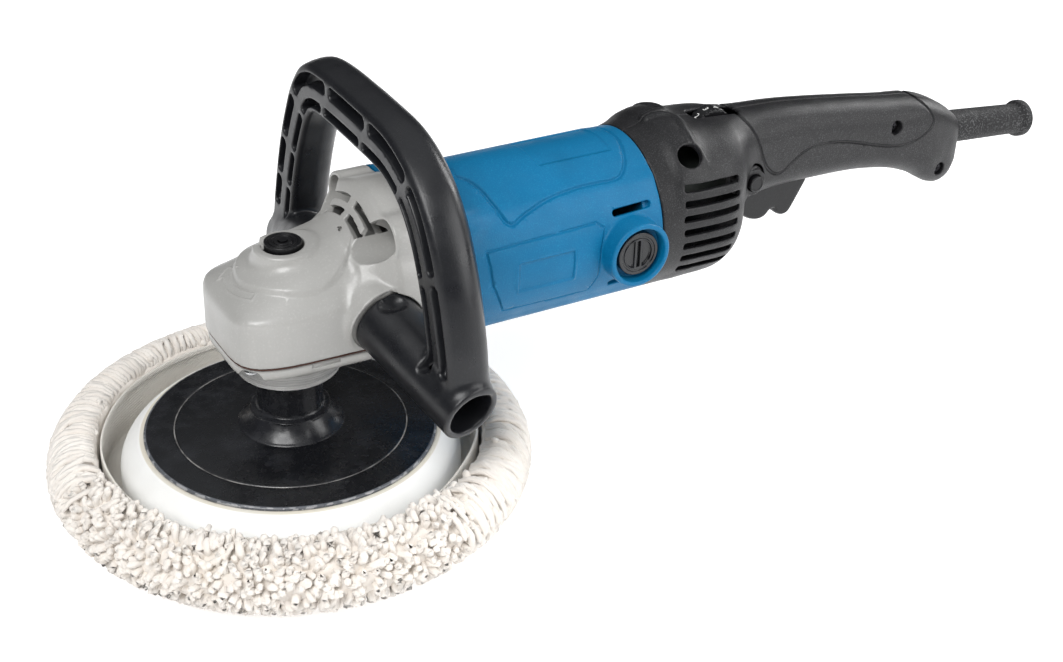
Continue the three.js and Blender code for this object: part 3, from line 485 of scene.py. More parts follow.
PAINT = painted()
BARE = brushed("bare_cast", (0.74, 0.735, 0.72), 0.3, turned=True, metal=0.4)
STEEL = brushed("steel", (0.56, 0.57, 0.58), 0.3)
DARK = brushed("dark_steel", (0.05, 0.05, 0.055), 0.38)
BRASS = brushed("brass", (0.62, 0.45, 0.2), 0.32)
COPPER = brushed("copper", (0.72, 0.33, 0.17), 0.34)
LAMINATION = brushed("lamination", (0.2, 0.21, 0.22), 0.45)
BLUE = moulded("blue_plastic", (0.001, 0.13, 0.285), (0.012, 0.27, 0.46), 0.4, 1500, 0.12, 0.2, 0.35)
BLACK = moulded("black_plastic", (0.006, 0.006, 0.007), (0.075, 0.074, 0.08), 0.42, 1500, 0.16, 0.38, 0.55)
LOOP = moulded("loop_plastic", (0.009, 0.0095, 0.0115), (0.036, 0.037, 0.042), 0.33, 1300, 0.05, 0.4, 0.2)
TRIM = moulded("trim_plastic", (0.006, 0.006, 0.007), (0.03, 0.03, 0.034), 0.36, 1200, 0.05, 0.35, 0.2)
RUBBER = moulded("rubber", (0.010, 0.010, 0.011), (0.15, 0.15, 0.155), 0.7, 900, 0.5, 0.4, 0.6)
POTTING = moulded("potting", (0.03, 0.036, 0.032), (0.07, 0.08, 0.07), 0.5, 500, 0.1)
CARBON = moulded("carbon", (0.02, 0.02, 0.023), (0.08, 0.08, 0.085), 0.6, 1500, 0.08)
SEAL = moulded("seal", (0.07, 0.028, 0.02), (0.2, 0.1, 0.07), 0.8, 900, 0.1)
CANVAS = cloth("canvas", (0.92, 0.885, 0.82), (0.76, 0.70, 0.60))
HOOK = cloth("hook_tape", (0.03, 0.03, 0.032), (0.01, 0.01, 0.011))
YARN = yarn()


def gloss_black(smooth=0.1, matt=0.26, base=(0.006, 0.0065, 0.008)):
    look = Look("gloss_black", base, smooth, spec=0.5)
    look.tint((0.03, 0.032, 0.038), look.band(look.noise(55, 4), 0.5, 0.8, 0, 0.5))
    look.roughen(look.noise(220, 5), 0.35, 0.7, smooth, matt)
    look.bump(look.noise(300, 2), 0.012)
    return look


def disc_paint():
    """Gloss black with a worn ring line, a rim chipped through to bright metal, and a painted highlight that lightens
    the rounded rim edge to blue grey.
    """
    look = gloss_black(0.2, 0.34)
    look.mat.name = "disc_paint"
    r = look.length(*look.spot()[:2])
    ring = look.band(look.math("ABSOLUTE", look.math("SUBTRACT", r, RING_LINE_R)), 0.45, 0.2)
    look.tint((0.30, 0.29, 0.28), look.product(ring, look.band(look.noise(90, 3), 0.4, 0.6, 0.25, 1)))
    chips = look.band(look.noise(160, 5, stretch=(1, 1, 3)), 0.52, 0.56)
    look.tint((0.55, 0.54, 0.53), look.product(look.band(r, 75.8, 76.4), chips))
    # painted highlight: the rounded rim edge lightened to blue grey
    look.tint((0.16, 0.17, 0.19), look.product(look.band(r, 75.4, 75.9), 0.6))
    return look


def foam_skin():
    look = Look("foam", (0.86, 0.86, 0.845), 0.85, spec=0.25, sheen=0.1)
    look.tint((0.70, 0.655, 0.56), look.band(look.length(*look.spot()[:2]), 79.4, 78.9))
    look.tint((0.74, 0.735, 0.71), look.band(look.noise(30, 4), 0.5, 0.8, 0, 0.5))
    look.roughen(look.noise(80, 3), 0.3, 0.7, 0.75, 0.92)
    look.bump(look.noise(1400, 3), 0.12).bump(look.noise(70, 2), 0.25)
    return look


GLOSS = gloss_black()
HUB = gloss_black(0.2, 0.34, (0.012, 0.0125, 0.015))
DISC = disc_paint()
FOAM = foam_skin()
WHITE = moulded("print_white", (0.8, 0.8, 0.78), (0.7, 0.7, 0.68), 0.5, 900, 0.02)


def finish_piece(obj, look, node=None, body="machine"):
    """Gives a piece its material and the body it rides on, and hides the CAD node it stands for."""
    obj.data.materials.append(look.mat)
    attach(obj, body)
    if node:
        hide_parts(node)
    return obj


# ---- shared positions
ARM_ROOT = np.array([37, 40, 114.9])
ARM_END = np.array([49.1, 105, 95.3])
FLANGE_R = 40.5
FLANGE_SCREWS = [
    (FLANGE_R * math.cos(a), AXIS + FLANGE_R * math.sin(a)) for a in map(math.radians, (45, 135, 225, 315))
]
FLANGE_HALF = FLANGE_SCREWS[::3]  # upper and lower screw at y > 0; the fields mirror them
RETAINER_SCREWS = [(-27.5, 20), (-27.5, -20), (25.5, 27.5), (25.5, -27.5)]
HEAD_REAR = 61.7


def arm_point(t):
    """Point on the near or far arm's axis; the fields take the far side by |y|."""
    return ARM_ROOT + t * (ARM_END - ARM_ROOT)


def arm_socket(x, y, z, spare=0.0, k=0.3):
    """The space an arm of the loop handle takes in the gear head."""
    return rod(x, np.abs(y), z, arm_point(-0.032), arm_point(0.4), 18.2 + spare, 17.5 + spare, k=k)


def around_motor(y, z):
    """Distance from the motor axis, and arc length up from the widest point, the same on both sides."""
    return np.hypot(y, z - AXIS), np.arctan2(z - AXIS, np.abs(y)) * MOTOR_R


# ---- gear head
HALF_PLAN = [
    (-37.0, 0), (-37.0, 9), (-36.9, 14), (-36.3, 19.5), (-34.8, 24.5), (-32, 28.8), (-28, 32), (-22, 34.4),
    (-14, 36.2), (-4, 37.1), (10, 37.6), (24, 38), (40, 38.4),
]
PLAN = Stencil([HALF_PLAN + [(x, -y) for x, y in HALF_PLAN[:0:-1]]], pad=12)
CROWN = smooth_table([
    (-40, 121.4), (-37, 124.2), (-32.5, 129), (-26, 132.9), (-16, 138), (-4, 143.2), (10, 146.6), (22, 149.4),
    (31, 153.6), (40, 158),
])
RIDGE = smooth_table([(-40, 121), (-30, 123.6), (-10, 124.6), (10, 125.4), (25, 127.4), (40, 131)])
NECK = smooth_table([
    (27, 96, 148, 37, 25, 10), (32, 96, 154, 37.8, 28, 12), (35, 93, 158.5, 39, 32, 16),
    (38.5, 90, 164.5, 42, 36, 22), (42, 85.5, 170, 45.2, 42, 32), (45, 81, 171.6, 46.1, 46, 44),
    (HEAD_REAR + 1, 79.3, 171.5, 46.1, 46, 46),
])
ARROW = Stencil([[(-1.9, -18), (-1.9, 12), (-5.2, 12), (0, 19.5), (5.2, 12), (1.9, 12), (1.9, -18)]], step=0.2, pad=3)
VENT_SLOPE = math.radians(57)


def arrow_height(x, y):
    """Raised outline of a curved turning arrow on the nose."""
    r, turn = np.hypot(x, y), np.arctan2(y, -x)
    d = ARROW(r - 28.6, turn * 28.6)
    return 0.45 * step(np.abs(d) - 0.45, 0.7) + 0.15 * step(d, 0.6)


def gear_housing(x, y, z):
    u = np.abs(y)
    plan = PLAN(x, y)
    high, ridge = np.interp(x, *CROWN.T), np.interp(x, *RIDGE.T)
    s = np.clip(u / 38.0, 0, 1)
    dome = np.hypot((x - 5) / 29.5, y / 30.0)
    top = ridge + (high - ridge) * (1 - s**2.8) + 2.3 * step((dome - 1.0) * 30, 1.9) - 1.2
    top = top + np.where(x < -15, arrow_height(x, y), 0)
    nose = smax(plan, (z - top) * 0.9, 2.6)
    neck = smax(loft(NECK, x, y, z), slab(x, 28, HEAD_REAR), 0.8)
    body = smin(smax(nose, np.maximum(x - 42, 98 - z), 1), neck, 4.5)
    boss = rod(x, u, z, arm_point(-0.26), arm_point(-0.03), 20.6, 19.9, k=0.9)
    body = smin(body, boss, 3)
    for (sy, sz), r_lobe, x_lobe in zip(FLANGE_HALF, (12.4, 6.4), (43, 54.5)):
        lobe = smax(np.hypot(u - sy, z - sz) - r_lobe, slab(x, x_lobe, HEAD_REAR), 1.6)
        body = smin(body, lobe, 2.5)
    body = smax(body, slab(z, np.where(x < 31.9, PARTING, 60), 200), 0.7)
    r = np.hypot(x, y)
    ring = smax(r - 15.4, slab(z, 128, 148), 1.5)
    body = smin(body, ring, 5)
    body = cut(body, smax(r - 10.7, slab(z, 137.5, 160), 0.5), 1.0)
    gap = smax(r - 18, np.abs(np.arctan2(y, x) - 2.35) * 13 - 3.6, 0.5)
    body = cut(body, smax(gap, 143.6 - z, 0.6), 0.8)
    out, _ = around_motor(y, z)
    for (sy, sz), r_scoop in zip(FLANGE_HALF, (10.3, 5.2)):
        away = np.hypot(u - sy, z - sz)
        body = cut(body, smax(away - r_scoop, slab(x, 20, 56.6), 0.8), 0.8)
        body = cut(body, smax(away - 2.5, slab(x, 50, 70), 0.3), 0.3)
    turn = np.arctan2(u, z - AXIS)
    for row_x, row_r in VENT_ROWS:
        along = (x - row_x) * math.cos(VENT_SLOPE) + (out - row_r) * math.sin(VENT_SLOPE)
        deep = (x - row_x) * math.sin(VENT_SLOPE) - (out - row_r) * math.cos(VENT_SLOPE)
        hole = rect(along, turn * row_r - 0.33 * row_r, 2.0, 0.255 * row_r, 0.9)
        body = cut(body, smax(hole, slab(deep, -6, 21), 0.4), 0.45)
    drop = np.hypot((x - 27) * 0.62 + (z - 150) * 0.5, (y + 5) * 1.25) - 3.4
    slope = (z - 150) * 0.78 - (x - 27) * 0.62  # height above the surface between button and neck
    body = cut(body, smax(drop, np.abs(slope) - 1.2, 0.6), 1.2)
    body = cut(body, arm_socket(x, y, z), 0.6)
    chamber = smax(r - 29, slab(z, 60, 121.6), 1)
    air = smax(smax(out - 29.5, 19 - out, 0.5), slab(x, 39, 80), 0.8)
    bore = smax(out - 14.3, slab(x, 46, 80), 0.3)
    tunnel = smax(out - 11.4, slab(x, 12, 50), 0.3)
    shaft = smax(r - 9.8, slab(z, 118, 136.2), 0.3)
    for hollow in (chamber, air, bore, tunnel, shaft):
        body = cut(body, hollow, 0.5)
    return body


finish_piece(carve("gear_housing_cast", gear_housing, (-40, -62, 77), (64, 62, 176), 0.55), PAINT, "gear_housing")


def retainer_plate(x, y, z):
    u = np.abs(y)
    body = smax(smax(PLAN(x, y) + 1.0, x - 31.4, 1), slab(z, 92, 98.7), 2.6)
    body = smin(body, smax(np.hypot(x, y) - 30.6 + (93 - z) * 0.1, slab(z, 88, 93), 1.2), 1.5)
    body = cut(body, arm_socket(x, y, z), 0.5)
    for sx, sy in RETAINER_SCREWS[::2]:
        body = cut(body, smax(np.hypot(x - sx, u - sy) - 4.6, slab(z, 80, 94.6), 0.3), 0.7)
    way = rod(x, u, z, (-27.5, 20, 91.8), (-35, 35, 91.8), 6.2, k=0.3)
    body = cut(body, smax(way, z - 97.2, 0.3), 0.5)
    notch = rect(x - 6, z - 96.6, 7.5, 0.9, 0.3)
    body = cut(body, smax(notch, y + 35.2, 0.3), 0.3)
    return cut(body, np.hypot(x, y) - 18, 0.3)


finish_piece(carve("retainer_plate", retainer_plate, (-40, -40, 86), (34, 40, 100.5), 0.5), PAINT)
finish_piece(
    lathe("retainer_collar", [
        (18.2, 92), (18.2, 84), (19.5, 82), (19.5, 78.4), (26.1, 78.3), (26.8, 78.9), (27.2, 81.4), (27.9, 81.8),
        (28.4, 82.4), (29.5, 88.6), (29.9, 89.4), (29.9, 92), (18.2, 92),
    ]),
    BARE, "bearing_retainer",
)


def gasket(x, y, z):
    body = smax(smax(PLAN(x, y) + 0.45, x - 31.3, 0.5), slab(z, 98.9, 99.7), 0.2)
    body = cut(body, np.hypot(x, y) - 29, 0.1)
    return cut(body, arm_socket(x, y, z, 0.1, 0.1), 0.1)


finish_piece(carve("gearbox_seal", gasket, (-40, -40, 98), (34, 40, 100.6), 0.3, 0.08), SEAL, "gearbox_gasket")


# ---- loop handle
LOOP_LINE = [
    (-95.2, 104), (-93, 121), (-90.2, 133.5), (-86.9, 146), (-82.6, 158), (-77.5, 169.5), (-71, 180.5),
    (-62.8, 190), (-52.4, 197.5), (-40.7, 202.6), (-28.2, 205), (-2.7, 206.3), (22.8, 206.9), (38, 206.7),
    (48.4, 205.6), (55, 203.2), (60, 199.8), (67.5, 190.2), (73.5, 179), (78.9, 167.5), (83.7, 155.5),
    (87.8, 143.5), (91.5, 131), (94.8, 119), (98.2, 104),
]
NEAR_POCKETS = [(74.6, 102.7), (106.4, 128.8), (132.4, 152)]
OUTER_POCKETS = [(-151, -106.4), (-101.8, -61.6), (-57.4, -19.5), (-15.1, 26), (30.4, 70)] + NEAR_POCKETS
INNER_POCKETS = [(-151, -107.7), (-102.7, -60.4), (-55.6, -12.7), (-8.9, 32.5), (36.8, 70)] + NEAR_POCKETS


def loop_maps():
    """Signed offset from the loop's middle line, and length along it from the top, on a grid."""
    curve = spline(LOOP_LINE, 12)
    along = lengths(curve)
    along -= along[np.argmin(np.abs(curve[:, 0]))]
    tangent = unit(np.gradient(curve, axis=0))
    ys, zs = np.arange(-126, 126.1, 1.0), np.arange(76, 230.1, 1.0)
    y, z = np.meshgrid(ys, zs, indexing="ij")
    p = np.stack([y, z], -1).reshape(-1, 2)
    near = np.concatenate([
        np.argmin(((part[:, None] - curve[None]) ** 2).sum(-1), axis=1) for part in np.array_split(p, 20)
    ])
    gap, t = p - curve[near], tangent[near]
    length = along[near] + (gap * t).sum(1)
    offset = gap[:, 0] * -t[:, 1] + gap[:, 1] * t[:, 0]
    return [m.reshape(y.shape) for m in (offset, length)]


LOOP_OFFSET, LOOP_LENGTH = loop_maps()


def on_loop(y, z):
    i, j = np.clip(y + 126, 0, 251.99), np.clip(z - 76, 0, 153.99)
    return bilinear(LOOP_OFFSET, i, j), bilinear(LOOP_LENGTH, i, j)


def loop_handle(x, y, z):
    u = np.abs(y)
    offset, length = on_loop(y, z)
    v = x - 51
    r = np.where(v > 0, 11.6, 3.4)
    bulge = 3.2 * np.clip(1 - (v / 13) ** 2, 0, 1) * np.clip(offset / 12, 0, 1)
    bar = rect(offset - bulge, v, 12, 13, r)
    body = smax(bar, slab(length, -160, 165), 1)
    body = smin(body, rod(x, u, z, arm_point(-0.024), arm_point(1.045), 17.4, 15.8, k=1.6), 4)
    for rows, mid, half in ((OUTER_POCKETS, 5.9, 3.5), (INNER_POCKETS, -6.6, 2.4)):
        for lo, hi in rows:
            pocket = rect(offset - mid, length - (lo + hi) / 2, half, (hi - lo) / 2, half * 0.8)
            floor_x = 45.5 - 4.5 * np.clip((np.abs(length) - 136) / 14, 0, 1)
            body = cut(body, smax(pocket + 0.12 * (x - 38), x - floor_x, 0.8), 1.1)
    patch = Vector(arm_point(0.16))
    hollow = np.sqrt((x - patch.x + 3) ** 2 * 0.55 + (u - patch.y) ** 2 * 1.3 + (z - patch.z - 22.5) ** 2) - 8.2
    body = cut(body, hollow, 1.0)
    dimple = np.sqrt((x - 33.5) ** 2 + (u - 46) ** 2 + (z - 130) ** 2) - 1.6
    body = smax(body, -dimple, 0.5)
    body = cut(body, rod(x, u, z, arm_point(0.42), arm_point(1.1), 11.5, 12.2, k=0.5), 1.6)
    return cut(body, rod(x, u, z, arm_point(-0.1), arm_point(0.5), 4.3, k=0.2), 0.4)


finish_piece(carve("loop_grip", loop_handle, (14, -124, 76), (70, 124, 226), 0.7), LOOP, "loop_handle")


# ---- motor housing
SWEEP = spline([
    (92, 62), (96.5, 57), (100, 49.5), (102.3, 41.5), (104.4, 35), (106.6, 30), (109.4, 27.7), (112.6, 28.3),
    (116, 30.2), (122, 32.6), (132, 35.8), (142, 37.6), (154, 38.8), (167, 38.8), (174, 38.6), (180, 40.2),
    (185.4, 45.8), (189.2, 55), (191.6, 64.5), (192.2, 73),
], 6)
SWEEP_LINE = Stencil([SWEEP], closed=False)
TOP_FIELD = Stencil([list(SWEEP) + [(192, 80), (92, 80)]])
PANEL = Stencil([[
    (93.6, 15.6), (158, 17.3), (161.6, 14.2), (158.9, 3.5), (158.7, -12), (155.4, -22.2), (104.4, -21), (96, -1.7),
]])


def motor_housing(x, y, z):
    u = np.abs(y)
    out, arc = around_motor(y, z)
    shell = out - MOTOR_R
    for sy, sz in FLANGE_HALF:
        lobe = np.hypot(u - sy, z - sz) - np.interp(x, (62, 80, 101), (12.4, 10.4, 4.6))
        shell = smin(shell, lobe, 4)
    shell = shell - 0.45 * step(TOP_FIELD(x, arc) + 0.6, 1.0) + 0.9 * groove(SWEEP_LINE(x, arc), 2.6)
    panel = PANEL(x, arc) - 1.2
    shell = shell - 0.4 * step(panel, 0.9) + 0.65 * groove(panel, 1.6)
    plate = rect(x - 127.2, arc + 1.7, 16.4, 8.2, 0.6)
    shell = shell + 0.8 * step(plate, 0.7) - 0.25 * groove(plate - 0.8, 1.4)
    label = rect(x - 160.5, u, 22.6, 15.2, 0.8)
    shell = shell + np.where(z > AXIS, 0.45 * step(label, 0.7), 0)
    body = smax(shell, slab(x, 62, 199.4), 0.9)
    body = smax(body, SHELL_BORE_R - out, 0.3)
    boss_r = np.hypot(x - BRUSH_X, z - AXIS)
    boss = smax(smax(boss_r - 18.2, slab(u, 38, 56.3), 1.8), 15.2 - boss_r, 1.4)
    seat = smax(boss_r - 16, slab(u, 41, 48.5), 0.5)
    body = smin(body, boss, 1.6)
    body = cut(body, smax(boss_r - 12.8, slab(u, 48.4, 70), 0.3), 1.0)
    body = smin(body, seat, 0.5)
    body = cut(body, smax(rect(x - BRUSH_X, z - AXIS, 6.1, 4.6, 0.3), slab(u, 30, 70), 0.3), 0.3)
    for height in (21.7, -21.7):
        hole = rect(x - 181, arc - height - (x - 181) * 0.045, 12, 2.0, 1.9)
        body = cut(body, smax(smax(hole, 41 - out, 0.5), slab(u, 20, 60), 0.3), 0.6)
    web = smax(smax(out - 43, slab(x, 189.6, 199.4), 0.3), 11.3 - out, 0.3)
    return smin(body, web, 0.5)


finish_piece(carve("motor_shell", motor_housing, (60, -60, 76), (202, 60, 176), 0.6), BLUE, "motor_housing")


# ---- rear housing and grip
GRIP = smooth_table([
    (199.7, 79.4, 171.4, 46, 46, 46), (208, 79.4, 173.2, 46, 44, 46), (215, 79.4, 176.6, 46, 43, 46),
    (222, 79.6, 177.6, 46, 42, 45), (229, 79.7, 176.6, 45.8, 41, 45), (236, 79.9, 174, 45.4, 39, 44),
    (246, 81.5, 172.3, 44, 36, 40), (254, 85, 171.9, 41, 33, 36), (259, 90.5, 171.6, 37.4, 30, 31),
    (263, 98, 171.3, 32.6, 27, 26), (266, 106, 171.1, 28.8, 24, 21), (270, 113.5, 170.9, 25.6, 22, 17),
    (278, 119.2, 170.4, 22, 19, 13), (300, 121, 169.4, 19.5, 17, 12), (326, 119.8, 166.8, 18.2, 16, 13),
    (355, 118.4, 163, 17.6, 16, 13), (384, 114.2, 158.6, 17.6, 16, 13), (404, 107.6, 155.9, 17.8, 15, 13),
    (416, 100.8, 152.5, 17.4, 14, 12), (423, 97, 149.6, 16.6, 13.5, 11.5), (429, 95.5, 146.4, 15.6, 12.5, 11),
    (435, 97.2, 142.4, 14.2, 12, 10), (441.5, 104.6, 137.4, 11.6, 9, 9),
])
GRIP_SWEEP = spline([
    (266.5, 184), (267, 178), (269, 173.5), (272.6, 168.6), (275.6, 163), (278.4, 156), (281.2, 149), (285, 141.6),
    (289.4, 136.6), (294, 134), (299.5, 134.6), (306, 139), (313, 143), (321, 145.1), (331, 145.1), (345, 142.9),
    (358, 139.4), (370, 135.8), (381, 133), (391, 131.9), (401, 133.3), (408.6, 137), (412.4, 141.6), (412.2, 146.6),
    (409, 151.6), (404, 157), (400.6, 163), (399, 172),
], 6)
GRIP_LINE = Stencil([GRIP_SWEEP], closed=False, step=0.35, pad=5)
BEAD_WIDTH, BEAD_HEIGHT = 6, 1.4
BEAD = spline([
    (214, 71.6), (219, 70.9), (225, 70), (228.7, 67.4), (229.2, 62), (228, 57), (227.2, 49), (227.6, 44), (229, 37),
    (230.5, 31),
], 8)  # raised bead over the hump, x and arc length round the motor axis
BEAD_LINE = Stencil([BEAD], closed=False)
REAR_SCREWS = [(-22, AXIS + 33), (22, AXIS + 33)]
GRIP_SCREWS = [(384, 144), (425, 108.5)]
LOCK_ON = (274, 135)
TRIGGER_PIVOT = (281, 128)
DIAL_AXIS = (258, 161.5)
BOOT = (np.array([428.5, 0, 128.4]), np.array([505, 0, 121.2]))


def rear_housing(x, y, z):
    u = np.abs(y)
    outer = loft(GRIP, x, y, z)
    inner = outer + 2.6
    skin = outer + 0.95 * groove(GRIP_LINE(x, z), 2.0)
    _, arc = around_motor(y, z)
    skin = skin - BEAD_HEIGHT * groove(BEAD_LINE(x, arc), BEAD_WIDTH) * np.clip((arc - 31) / 9, 0, 1)
    for sx, sz in GRIP_SCREWS:
        inner = cut(inner, np.hypot(x - sx, z - sz) - 5.4, 1)
    inner = cut(inner, np.hypot(x - TRIGGER_PIVOT[0], z - TRIGGER_PIVOT[1]) - 3.6, 1)
    body = smax(smax(skin, slab(x, 199.7, 440.5), 0.8), -inner, 0.3)
    lock_r = np.hypot(x - LOCK_ON[0], z - LOCK_ON[1])
    body = smin(body, smax(lock_r - 7.8, slab(-y, 12, 25.8), 0.9), 1.6)
    moat = np.abs(lock_r - 9.6) - 0.7 + np.where(y < 0, 0, 9) + np.maximum(-23 - y, 0)
    body = cut(body, moat, 0.4)
    body = cut(body, smax(lock_r - 5.0, slab(-y, 10, 40), 0.2), 0.6)
    for k in range(7):
        slot = rect(x - 232.6, z - 149.8 + 8.35 * k + (x - 232.6) * 0.05, 19.5 - 0.5 * abs(k - 2), 2.0, 1.3)
        body = cut(body, smax(slot, 20 - u, 0.3), 0.7)
    body = cut(body, rod(x, u, z, (219, 24, 154.5), (223.5, 37, 169.5), 5.8, 7.2, k=0.5), 1.0)
    away = np.hypot(u - REAR_SCREWS[1][0], z - REAR_SCREWS[1][1])
    body = smin(body, smax(away - 5.6, slab(x, 199, 212), 0.4), 0.8)
    body = cut(body, smax(away - 4.2, slab(x, 204.5, 226), 0.3), 0.5)
    opening = rect(x - (DIAL_AXIS[0] + 1), y, 15.5, 6.2, 3.0)
    body = cut(body, smax(opening + (z - 170) * 0.12, 164 - z, 0.6), 1.5)
    body = cut(body, smax(rect(x - DIAL_AXIS[0], y, 13.2, 5.3, 0.5), slab(z, 155, 190), 0.2), 0.3)
    mouth = smax(slab(x, 275, 330.5), np.abs(y) - 8.3, 0.8)
    body = cut(body, smax(mouth, z - 126, 0.5), 0.8)
    for sx, sz in GRIP_SCREWS:
        hole = np.hypot(x - sx, z - sz)
        body = cut(body, smax(hole - 4.1, y + 11.5, 0.3), 0.7)
        body = cut(body, smax(hole - 1.9, slab(y, -25, 14), 0.2), 0.2)
    a, b = BOOT
    return cut(body, rod(x, y, z, a - (b - a) * 0.02, b, 11.0, k=0.2), 0.8)


def half_shell(side):
    return lambda x, y, z: smax(rear_housing(x, y, z), 0.13 + side * y, 0.45)


for name, hand, side, lo, hi, voxel in (("near", "right", 1, -48, 2, 0.55), ("far", "left", -1, -2, 48, 0.65)):
    shell = carve(f"grip_shell_{name}", half_shell(side), (198, lo, 76), (450, hi, 180), voxel)
    finish_piece(shell, BLACK, f"handle_shell_{hand}")


# ---- controls and small parts
TRIGGER = Stencil([spline([
    (276.6, 119), (278.5, 109.5), (283, 104), (288.5, 100.4), (294, 99), (299, 100), (303, 103.6), (305.4, 103.8),
    (307.6, 100.2), (312, 98), (316.5, 99.4), (320, 104.5), (324.5, 112.5), (327.6, 118.5), (327.4, 122.4),
    (310, 125.2), (292, 127.6), (286, 131), (280, 132), (277, 127),
], 5, closed=True)], step=0.25)


def trigger(x, y, z):
    body = smax(TRIGGER(x, z), np.abs(y) - 7.8, 3.2)
    body = smin(body, smax(TRIGGER(x, z) + 0.8, np.abs(y) - 7.8, 1), 0.5)
    return cut(body, np.hypot(x - TRIGGER_PIVOT[0], z - TRIGGER_PIVOT[1]) - 1.8, 0.2)


finish_piece(carve("trigger_lever", trigger, (274, -10, 95), (331, 10, 134), 0.4), TRIM, "trigger", "trigger_body")


def lock_on(x, y, z):
    r = np.hypot(x - LOCK_ON[0], z - LOCK_ON[1])
    body = smin(smax(r - 4.6, slab(-y, 16, 28.6), 1.0), smax(r - 5.6, slab(-y, 15.5, 18), 0.3), 0.4)
    return cut(body, smax(r - 3.4, y + 28.2, 0.2), 0.4)


knob = carve("lock_on_knob", lock_on, (267, -30, 128), (281, -14, 142), 0.3)
finish_piece(knob, TRIM, "lock_on_button", "lock_on_body")


def dial(x, y, z):
    dx, dz = x - DIAL_AXIS[0], z - DIAL_AXIS[1]
    r, a = np.hypot(dx, dz), np.arctan2(dz, dx)
    rim = r - 12.5 + 0.55 * np.maximum(np.cos(a * 26), 0) * step(3.3 - np.abs(y), 0.4)
    body = smax(rim, np.abs(y) - 4.6, 0.6)
    return smin(body, smax(r - 2.5, np.abs(y) - 7, 0.3), 0.4)


def dial_numbers():
    """Plain numerals 1 to 6 round the wheel."""
    made = []
    for k in range(6):
        text = bpy.data.curves.new("digit", "FONT")
        text.body = str(k + 1)
        text.size = 0.0048
        text.extrude = 0.0001
        text.align_x = text.align_y = "CENTER"
        obj = place("digit", text)
        bpy.context.view_layer.update()
        mesh = bpy.data.meshes.new_from_object(obj)
        bpy.data.objects.remove(obj)
        mesh.transform(Matrix.Rotation(math.radians(-90), 4, "Z"))
        mesh.transform(Matrix.Translation((0, 0, 0.0125)))
        turn = Matrix.Rotation(math.radians(-75 + 30 * k), 4, "Y")
        mesh.transform(Matrix.Translation((DIAL_AXIS[0] * MM, 0, DIAL_AXIS[1] * MM)) @ turn)
        made.append(place(f"digit_{k}", mesh))
    first = made[0]
    with bpy.context.temp_override(active_object=first, selected_editable_objects=made, selected_objects=made):
        bpy.ops.object.join()
    first.name = "dial_numerals"
    return first


finish_piece(carve("dial_wheel", dial, (243, -8, 147), (273, 8, 176), 0.3), TRIM, "speed_dial", "dial_body")
finish_piece(dial_numbers(), WHITE, None, "dial_body")


def lock_button(x, y, z):
    r = np.hypot(x, y)
    body = smax(r - 9.6, slab(z, 143.3, 150.5), 0.7)
    body = cut(body, smax(r - 8.2, z - 147.8, 0.2), 0.2)
    for ring in (5.2, 7.6):
        body = cut(body, smax(np.abs(r - ring) - 0.5, 149.8 - z, 0.3), 0.35)
    return cut(body, smax(r - 2.5, slab(z, 140, 160), 0.1), 0.5)


cap = carve("lock_button_cap", lock_button, (-12, -12, 142), (12, 12, 152), 0.3)
finish_piece(cap, TRIM, "lock_button", "lock_button_body")


def spring():
    """The coil under the shaft lock button, from its seat in the housing to the button's underside."""
    turns, steps, sides, wire, coil_r = 3.5, 40, 12, 0.55, 5.8
    a = 2 * np.pi * np.arange(int(turns * steps) + 1) / steps
    b = circle(sides)
    rise = np.linspace(139.4, 147.2, len(a))[:, None] + wire * np.sin(b)
    r = coil_r + wire * np.cos(b)
    verts = np.stack([np.cos(a)[:, None] * r, np.sin(a)[:, None] * r, rise], -1).reshape(-1, 3)
    ends = [tuple(range(sides)), tuple(range(len(verts) - 1, len(verts) - 1 - sides, -1))]
    return build_mesh("lock_spring_coil", verts, grid_faces(len(a), sides, closed=True) + ends)


coil = finish_piece(spring(), STEEL, "lock_spring")
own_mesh(coil)


def brush_cap(side):
    def field(x, y, z):
        u, v = y * side, np.abs(x - BRUSH_X)
        r = np.hypot(x - BRUSH_X, z - AXIS)
        body = smax(r - 12.3, slab(u, 49, 53.6), 0.8)
        body = cut(body, smax(np.abs(r - 9.6) - 0.6, 52.9 - u, 0.2), 0.4)
        body = cut(body, smax(r - 8.2, 52.2 - u, 0.3), 0.5)
        body = smin(body, smax(smax(v - 2.4, r - 8.4, 0.3), slab(u, 51, 53.6), 0.3), 0.3)
        return cut(body, smax(smax(v - 1.0, r - 7.6, 0.3), 51.4 - u, 0.2), 0.3)
    return field


for name, side in (("near", -1), ("far", 1)):
    lo, hi = sorted((side * 48, side * 57))
    cover = carve(f"brush_cap_cover_{name}", brush_cap(side), (165, lo, 112), (193, hi, 139), 0.35)
    finish_piece(cover, GLOSS, f"brush_cap_{name}")


def boot():
    a, b = BOOT
    end = np.linalg.norm(b - a)
    profile = [(4, 0), (10.6, 0), (11, 0.4), (11, 4), (10.4, 4.8), (10.2, 5)]
    profile += [(10.2 - 0.8 * t, 5 + 64 * t) for t in np.linspace(0.05, 1, 24)]
    profile += [
        (9.6, 69.6), (10.2, 70.2), (10.9, 70.9), (11.3, 71.6), (11.5, 72.4), (11.5, end - 1.8), (11.3, end - 0.9),
        (10.8, end - 0.2), (10.2, end), (8.8, end), (8, end - 0.8), (7, end - 1.6), (4, end - 1.8), (4, 0),
    ]
    return lathe("cord_sleeve", profile, 128, axis=(b - a) / end, start=a)


finish_piece(boot(), RUBBER, "cord_boot")


